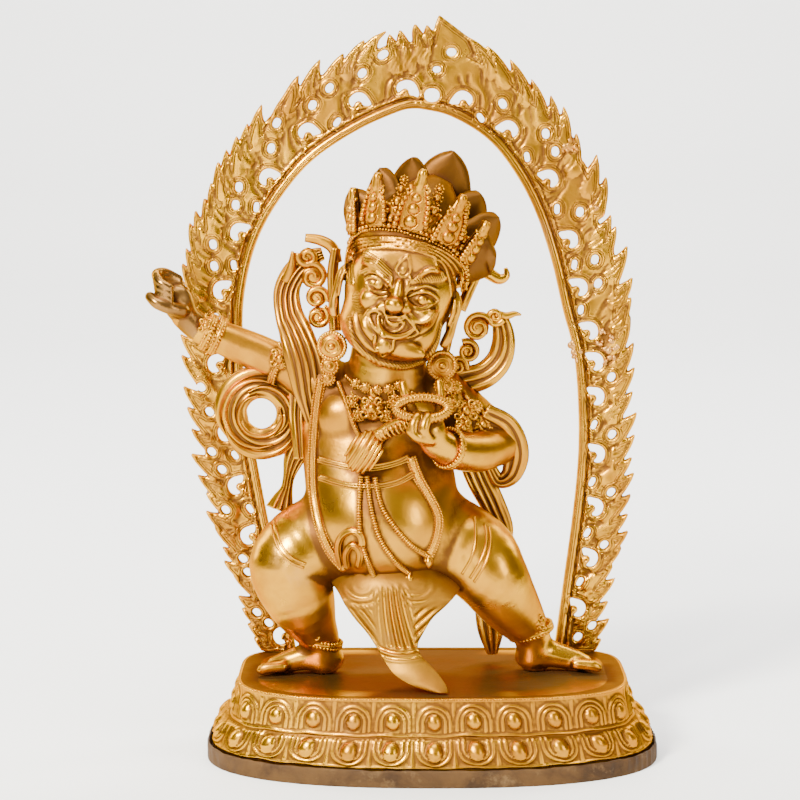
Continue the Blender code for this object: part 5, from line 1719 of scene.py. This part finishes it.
# Flame-shaped plaques on them and on the viewer's right shoulder: centre, size and the way they look
LIMB_PLAQUES = (
    ((-97, -22, 37), 8, (-0.2, -1, 0)), ((84, -15, 44), 8, (0.1, -1, 0.1)),
    ((-122, -7, 257), 9.5, (0, -1, 0.1)), ((-181, -6, 283), 7, (-0.1, -1, 0.2)),
    ((26, -12, 216), 11, (0.1, -1, 0.1)), ((40, -8, 204), 9, (0.2, -1, 0.1)),
    ((12, -20, 226), 9.5, (0.1, -1, 0.2)), ((24, -24, 203), 8.5, (0.1, -1, 0.1)),
    ((38, -16, 194), 7.5, (0.2, -1, 0.1)),
)
# Rosettes on the shoulder, the ear ornaments and the smaller discs that hang from them
SLIGHTLY_UP = (0, -1, 0.1)
LIMB_ROSETTES = (
    ((6, -30, 238), 5, SLIGHTLY_UP), ((18, -22, 236), 4.5, SLIGHTLY_UP), ((34, -12, 219), 5, SLIGHTLY_UP),
    ((47, -6, 208), 4.5, SLIGHTLY_UP), ((30, -22, 190), 4.5, SLIGHTLY_UP),
    ((-80, -24, 269), 10.5, (-0.1, -1, 0)), ((7, -27, 254), 10.5, (0.1, -1, 0)),
    ((-82, -24, 253), 6.5, SLIGHTLY_UP), ((-83, -24, 243), 5, SLIGHTLY_UP), ((11, -28, 238), 6, SLIGHTLY_UP),
)
PENDANT = np.array((-54, -60, 190))
PENDANT_RADII = (13.5, 8, 18)
NOOSE_CENTRE = (-9, -74, 226)
NOOSE_RIBS = 40
THIGH_HEMS = (
    ((274, 520), (279, 540), (290, 556), (306, 564)), ((271, 524), (276, 544), (288, 560), (304, 568)),
    ((474, 516), (476, 535), (472, 556), (462, 574)), ((485, 524), (487, 540), (482, 558), (470, 578)),
    ((489, 526), (491, 542), (486, 562), (474, 582)),
)


def beaded_ring(heap, centre, axis, radius, gap=4.0, bead=1.5):
    """Two rows of beads on either side of a smooth band round a limb."""
    axis = unit(np.array(axis, float))
    heap.hoop(centre, axis, radius - 0.4, 2.0, 30, 8, 1.5)
    for shift in (-gap / 2, gap / 2):
        heap.beads(ring_path(np.array(centre) + axis * shift, axis, radius, 40), bead, 2 * bead * 0.98, 1.0)


def ribs(heap, path, wide, tall, pitch):
    """A cord of flat beads that stand across its path."""
    path = even(path, pitch)
    along = unit(np.gradient(path, axis=0))
    for point, way in zip(path, along):
        across = unit(np.cross(way, (0, 1, 0)))
        heap.bead(point, (wide, wide * 0.9, tall), np.stack([across, np.cross(way, across), way], axis=1))


def plaque(heap, centre, size, look):
    """A flame-shaped boss with a gem and scrolls."""
    axes = facing(look)
    centre = np.array(centre, float)

    def at(across, out, up):
        return centre + axes @ np.array((across, out, up), float) * size

    heap.bead(centre, np.array((0.9, 0.3, 1.0)) * size, axes)
    heap.bead(at(0, 0.3, 0), np.array((0.36, 0.3, 0.42)) * size, axes)
    for side in (-1, 1):
        spiral(heap, at(0.6 * side, 0.22, -0.35), 0.42 * size, 1.2, 90, look, 0.15 * size, side)
        spiral(heap, at(0.5 * side, 0.22, 0.55), 0.36 * size, 1.2, 270, look, 0.14 * size, -side)
    for point in ring_path(at(0, 0.25, 0), axes[:, 1], 0.56 * size, 12)[:-1]:
        heap.bead(point, np.full(3, 0.11 * size))
    flame = ((-0.3, 0.8, 0.14), (0, 1.1, 0.2), (0.05, 1.5, 0.06))
    heap.tube([(*at(across, 0.2, up), radius * size) for across, up, radius in flame], 8)


def noose_line(angle):
    """Places round the tilted loop that the left hand holds."""
    x, y, z = NOOSE_CENTRE
    return np.stack([x + 20 * np.cos(angle), y + 2 * np.sin(angle), z + 8 * np.sin(angle)], axis=-1)


def add_cords(heap, body):
    """Ribbed cords that hang over the belly, each with a bud at its end."""
    for pixels in CORDS:
        path = body.trace(pixels, 1.0, 1.2, 15)
        heap.tube(with_column(path, 1.7), 8, 1.5, False, 1)
        ribs(heap, path + (0, -0.8, 0), 2.5, 1.15, 2.1)
        teardrop(heap, path[-1] + (0, -1, 2), path[-1] + (1, -2, -9), 2.6)
        for side in (-1.8, 1.8):
            heap.bead(path[-1] + (side, -2, -3), np.full(3, 1.5))


def add_straps(heap, body):
    """Beaded straps down the chest, bands across it, the sash's knot and the hems on the thighs."""
    for pixels, wide in zip(CHEST_STRAPS, (7.5, 7.0)):
        path = body.trace(pixels, 1.0, 0.8, 21)
        side = unit(np.cross(unit(np.gradient(path, axis=0)), (0, -1, 0)))
        heap.ribbon(with_column(path, wide)[::4], 3.2, ridges=0, depth=0, dome=1.0, columns=9)
        for shift, bead in ((-0.48, 1.0), (-0.18, 1.25), (0.18, 1.25), (0.48, 1.0)):
            heap.beads(path + side * wide * shift + (0, -2.2 + 2 * abs(shift), 0), bead, 2.1, 0.9)
        heap.bead(path[-1], (4, 3, 5))
    for pixels in CHEST_BANDS:
        path = body.trace(pixels, 1.2, 0.4, 21)
        heap.ribbon(with_column(path, 5.5)[::5], 2.6, ridges=2, depth=0.7, dome=0.6, columns=13)
    for pixels in SASH_KNOT:
        path = body.trace(pixels, 1.2, 1.5)
        heap.ribbon(with_column(path, 6)[::4], 3.5, ridges=2, depth=0.6, columns=11)
    for pixels in THIGH_HEMS:
        path = body.trace(pixels, 1.2, 0.2)
        heap.tube(with_column(path, 1.2), 6, 1.5, False, 1)


def add_necklace(heap, body):
    for pixels in COLLAR:
        path = body.trace(pixels, 1.0, 1.2, 15)
        heap.tube(with_column(path, 2.4), 8, 1.5, False, 1)
        heap.beads(path + (0, -2.0, 0), 1.3, 2.5, 0.9)
    path = body.trace(NECKLACE, 1.0, 1.0, 15)
    heap.beads(path, 1.4, 2.6)
    heap.beads(path + (0, -0.5, -9), 1.2, 2.3)
    for point in body.hit(ROSETTES, 2.0):
        rosette(heap, point, 3.8, (0, -1, -0.1))
    for pixel, size, proud in CHEST_PLAQUES:
        plaque(heap, body.hit([pixel], proud)[0], size, (0, -1, -0.05))


def add_pendant(heap):
    """The ribbed pendant and the rope that joins it to the left hand."""
    axes = rotation("Y", 32)
    _, deep, tall = PENDANT_RADII
    heap.bead(PENDANT, PENDANT_RADII, axes)
    across = np.linspace(-0.97, 0.97, 13)
    for k in range(-3, 4):
        span = math.sqrt(max(0, 1 - (k / 3.7) ** 2))
        front = -(deep + 0.3) * span * np.sqrt(1 - across**2) * 0.95
        rib = PENDANT + np.stack([np.full(13, k * 3.7), front, tall * span * across], axis=1) @ axes.T
        heap.tube(with_column(rib, 1.35), 6, 1.5, False, 2)
    heap.tube(((-44, -64, 203, 5), (-36, -66, 209, 4.4), (-26, -70, 214, 4.0), (-18, -74, 214, 3.6)), 10)
    start, way = np.array((-44, -64, 203)), np.array((26, -10, 11))
    for t in np.linspace(0.1, 0.9, 7):
        heap.hoop(start + t * way, way, 4.6, 1.0, 12, 6, 1.2)


def add_noose(heap):
    """The loop of rope, ribbed all round."""
    heap.tube(with_column(noose_line(np.linspace(0, 2 * np.pi, 25)), 3.6), 10, 1.5, True, 1)
    for k in range(NOOSE_RIBS):
        here, after = noose_line(2 * np.pi * np.array((k, k + 0.8)) / NOOSE_RIBS)
        heap.hoop(here, unit(after - here) + (0.2, 0, 0.3), 3.8, 0.8, 10, 6, 1.2)


def build_ornaments(body, material):
    heap = Heap()
    add_cords(heap, body)
    add_straps(heap, body)
    add_necklace(heap, body)
    add_pendant(heap)
    add_noose(heap)
    for centre, axis, radius in LIMB_RINGS:
        beaded_ring(heap, centre, axis, radius)
    for centre, size, look in LIMB_PLAQUES:
        plaque(heap, centre, size, look)
    for centre, radius, look in LIMB_ROSETTES:
        rosette(heap, centre, radius, look)
    # The stem of the ear ornament on the viewer's right
    heap.tube(((14, -12, 290, 3.4), (12, -20, 272, 3.2), (8, -24, 258, 3)), 8)
    add_piece("ornaments_gilt", *heap.mesh(), material)


def build_figure(gilding, bare, dark):
    body = build_body()
    piece = add_piece("figure_gilt", *body.surface(), None, gilding)
    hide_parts("vajrapani_figure")
    fist, hand = build_hands()
    add_piece("raised_fist_bronze", *fist.surface(), None, bare)
    add_piece("left_hand_gilt", *hand.surface(), None, gilding)
    head = build_head()
    points, quads = head.surface()
    add_piece("head_gilt", points, quads, None, gilding, extras={"hatch": hatching(head, points)})
    build_ornaments(body, gilding)
    build_scarves(gilding)
    build_apron(gilt("gilt_apron", wear=1.2, deep=0.6))
    build_crown(gilding)
    build_crest(dark)


# Floor, light and camera

# The floor rises to a wall behind the statue: y and z in metres
FLOOR_SECTION = ((-14, 0), (3.4, 0), (3.9, 0.08), (4.2, 0.3), (4.35, 0.7), (4.4, 4.5))
PAPER = (0.90, 0.895, 0.885, 1)
MIDDLE = (0, 0, 0.3)
# Area lights: name, place, what they look at, size, power and colour
LIGHTS = (
    ("key", (-1.2, -1.8, 1.7), MIDDLE, (0.6, 0.6), 225, (1, 0.98, 0.86)),
    ("fill", (1.7, -1.6, 0.8), MIDDLE, (0.4, 1.1), 28, (1, 0.97, 0.9)),
    ("front", (-0.5, -2.5, 0.45), (0, 0, 0.25), (0.45, 0.9), 12, (1, 1, 1)),
    ("top", (0.1, -0.3, 1.9), MIDDLE, (1.2, 0.7), 26, (1, 1, 1)),
    ("rim_left", (-1.6, 0.9, 0.9), MIDDLE, (0.5, 1.2), 24, (1, 1, 1)),
    ("rim_right", (1.5, 1.1, 1.3), MIDDLE, (0.5, 1.2), 24, (1, 1, 1)),
    ("wash", (0, 1.6, 3.4), (0, 4.2, 0.9), (4, 1.2), 450, (1, 1, 1)),
)


def build_stage():
    points = [(x, y, z) for x in (-18, 18) for y, z in FLOOR_SECTION]
    count = len(FLOOR_SECTION)
    mesh = bpy.data.meshes.new("studio_floor")
    mesh.from_pydata(points, [], [(i, i + count, i + count + 1, i + 1) for i in range(count - 1)])
    mesh.shade_smooth()
    floor = bpy.data.objects.new("studio_floor", mesh)
    bpy.context.scene.collection.objects.link(floor)
    material = bpy.data.materials.new("pale_paper")
    material.use_nodes = True
    shader = material.node_tree.nodes["Principled BSDF"]
    shader.inputs["Base Color"].default_value = PAPER
    shader.inputs["Roughness"].default_value = 0.9
    mesh.materials.append(material)


def add_light(name, place, target, size, power, colour):
    light = bpy.data.lights.new(name, "AREA")
    light.shape = "RECTANGLE"
    light.size, light.size_y = size
    light.energy = power
    light.color = colour
    holder = bpy.data.objects.new(name, light)
    bpy.context.scene.collection.objects.link(holder)
    aim = np.array(target) - np.array(place)
    holder.matrix_world = Matrix.Translation(place) @ Matrix(look_axes(aim)).to_4x4()


def look_axes(aim):
    """Axes of a light whose -Z looks along aim."""
    back = -unit(np.array(aim, float))
    side = unit(np.cross((0, 0, 1), back))
    return np.stack([side, np.cross(back, side), back], axis=1).tolist()


def build_world():
    """A studio room: bright above, dim and warm low down."""
    world = bpy.data.worlds.new("studio")
    world.use_nodes = True
    tree = world.node_tree
    place = tree.nodes.new("ShaderNodeTexCoord")
    split = tree.nodes.new("ShaderNodeSeparateXYZ")
    ramp = tree.nodes.new("ShaderNodeValToRGB")
    tree.links.new(place.outputs["Generated"], split.inputs[0])
    tree.links.new(split.outputs["Z"], ramp.inputs["Fac"])
    tree.links.new(ramp.outputs["Color"], tree.nodes["Background"].inputs["Color"])
    stops = ramp.color_ramp.elements
    stops[0].position, stops[0].color = 0.0, (0.13, 0.11, 0.09, 1)
    stops[1].position, stops[1].color = 0.75, (1.0, 0.97, 0.90, 1)
    middle = stops.new(0.22)
    middle.color = (0.33, 0.29, 0.24, 1)
    tree.nodes["Background"].inputs["Strength"].default_value = 0.5
    bpy.context.scene.world = world


def build_camera():
    camera = bpy.data.cameras.new("camera")
    camera.lens = LENS
    camera.sensor_width = SENSOR
    holder = bpy.data.objects.new("camera", camera)
    holder.location = CAMERA_PLACE
    holder.rotation_euler = (math.radians(CAMERA_TILT), 0, 0)
    bpy.context.scene.collection.objects.link(holder)
    bpy.context.scene.camera = holder


build_stage()
for light in LIGHTS:
    add_light(*light)
build_world()
build_camera()
gold = gilt("gilt_figure")
bronze = gilt("bare_bronze", light=BRONZE_LIGHT, mid=BRONZE_MID)
worn = gilt("worn_gilt", rough=0.2, light=WORN_LIGHT, mid=WORN_MID)
build_figure(gold, bronze, worn)
build_plinth(gilt("gilt_plinth", deep=0.9))
build_tray(tarnished_copper("tarnished_copper"))
build_aureole(gilt("gilt_aureole", deep=0.95, lines=((-2.6, 0.55), (-4.4, 0.5))))
build_mends(gilt("solder", wear=1.6, rough=0.12, light=GOLD_PINK, mid=GOLD_MID))

# Bakes the crowd attribute, which the materials use as painted shade
mark_crowding(PIECES)
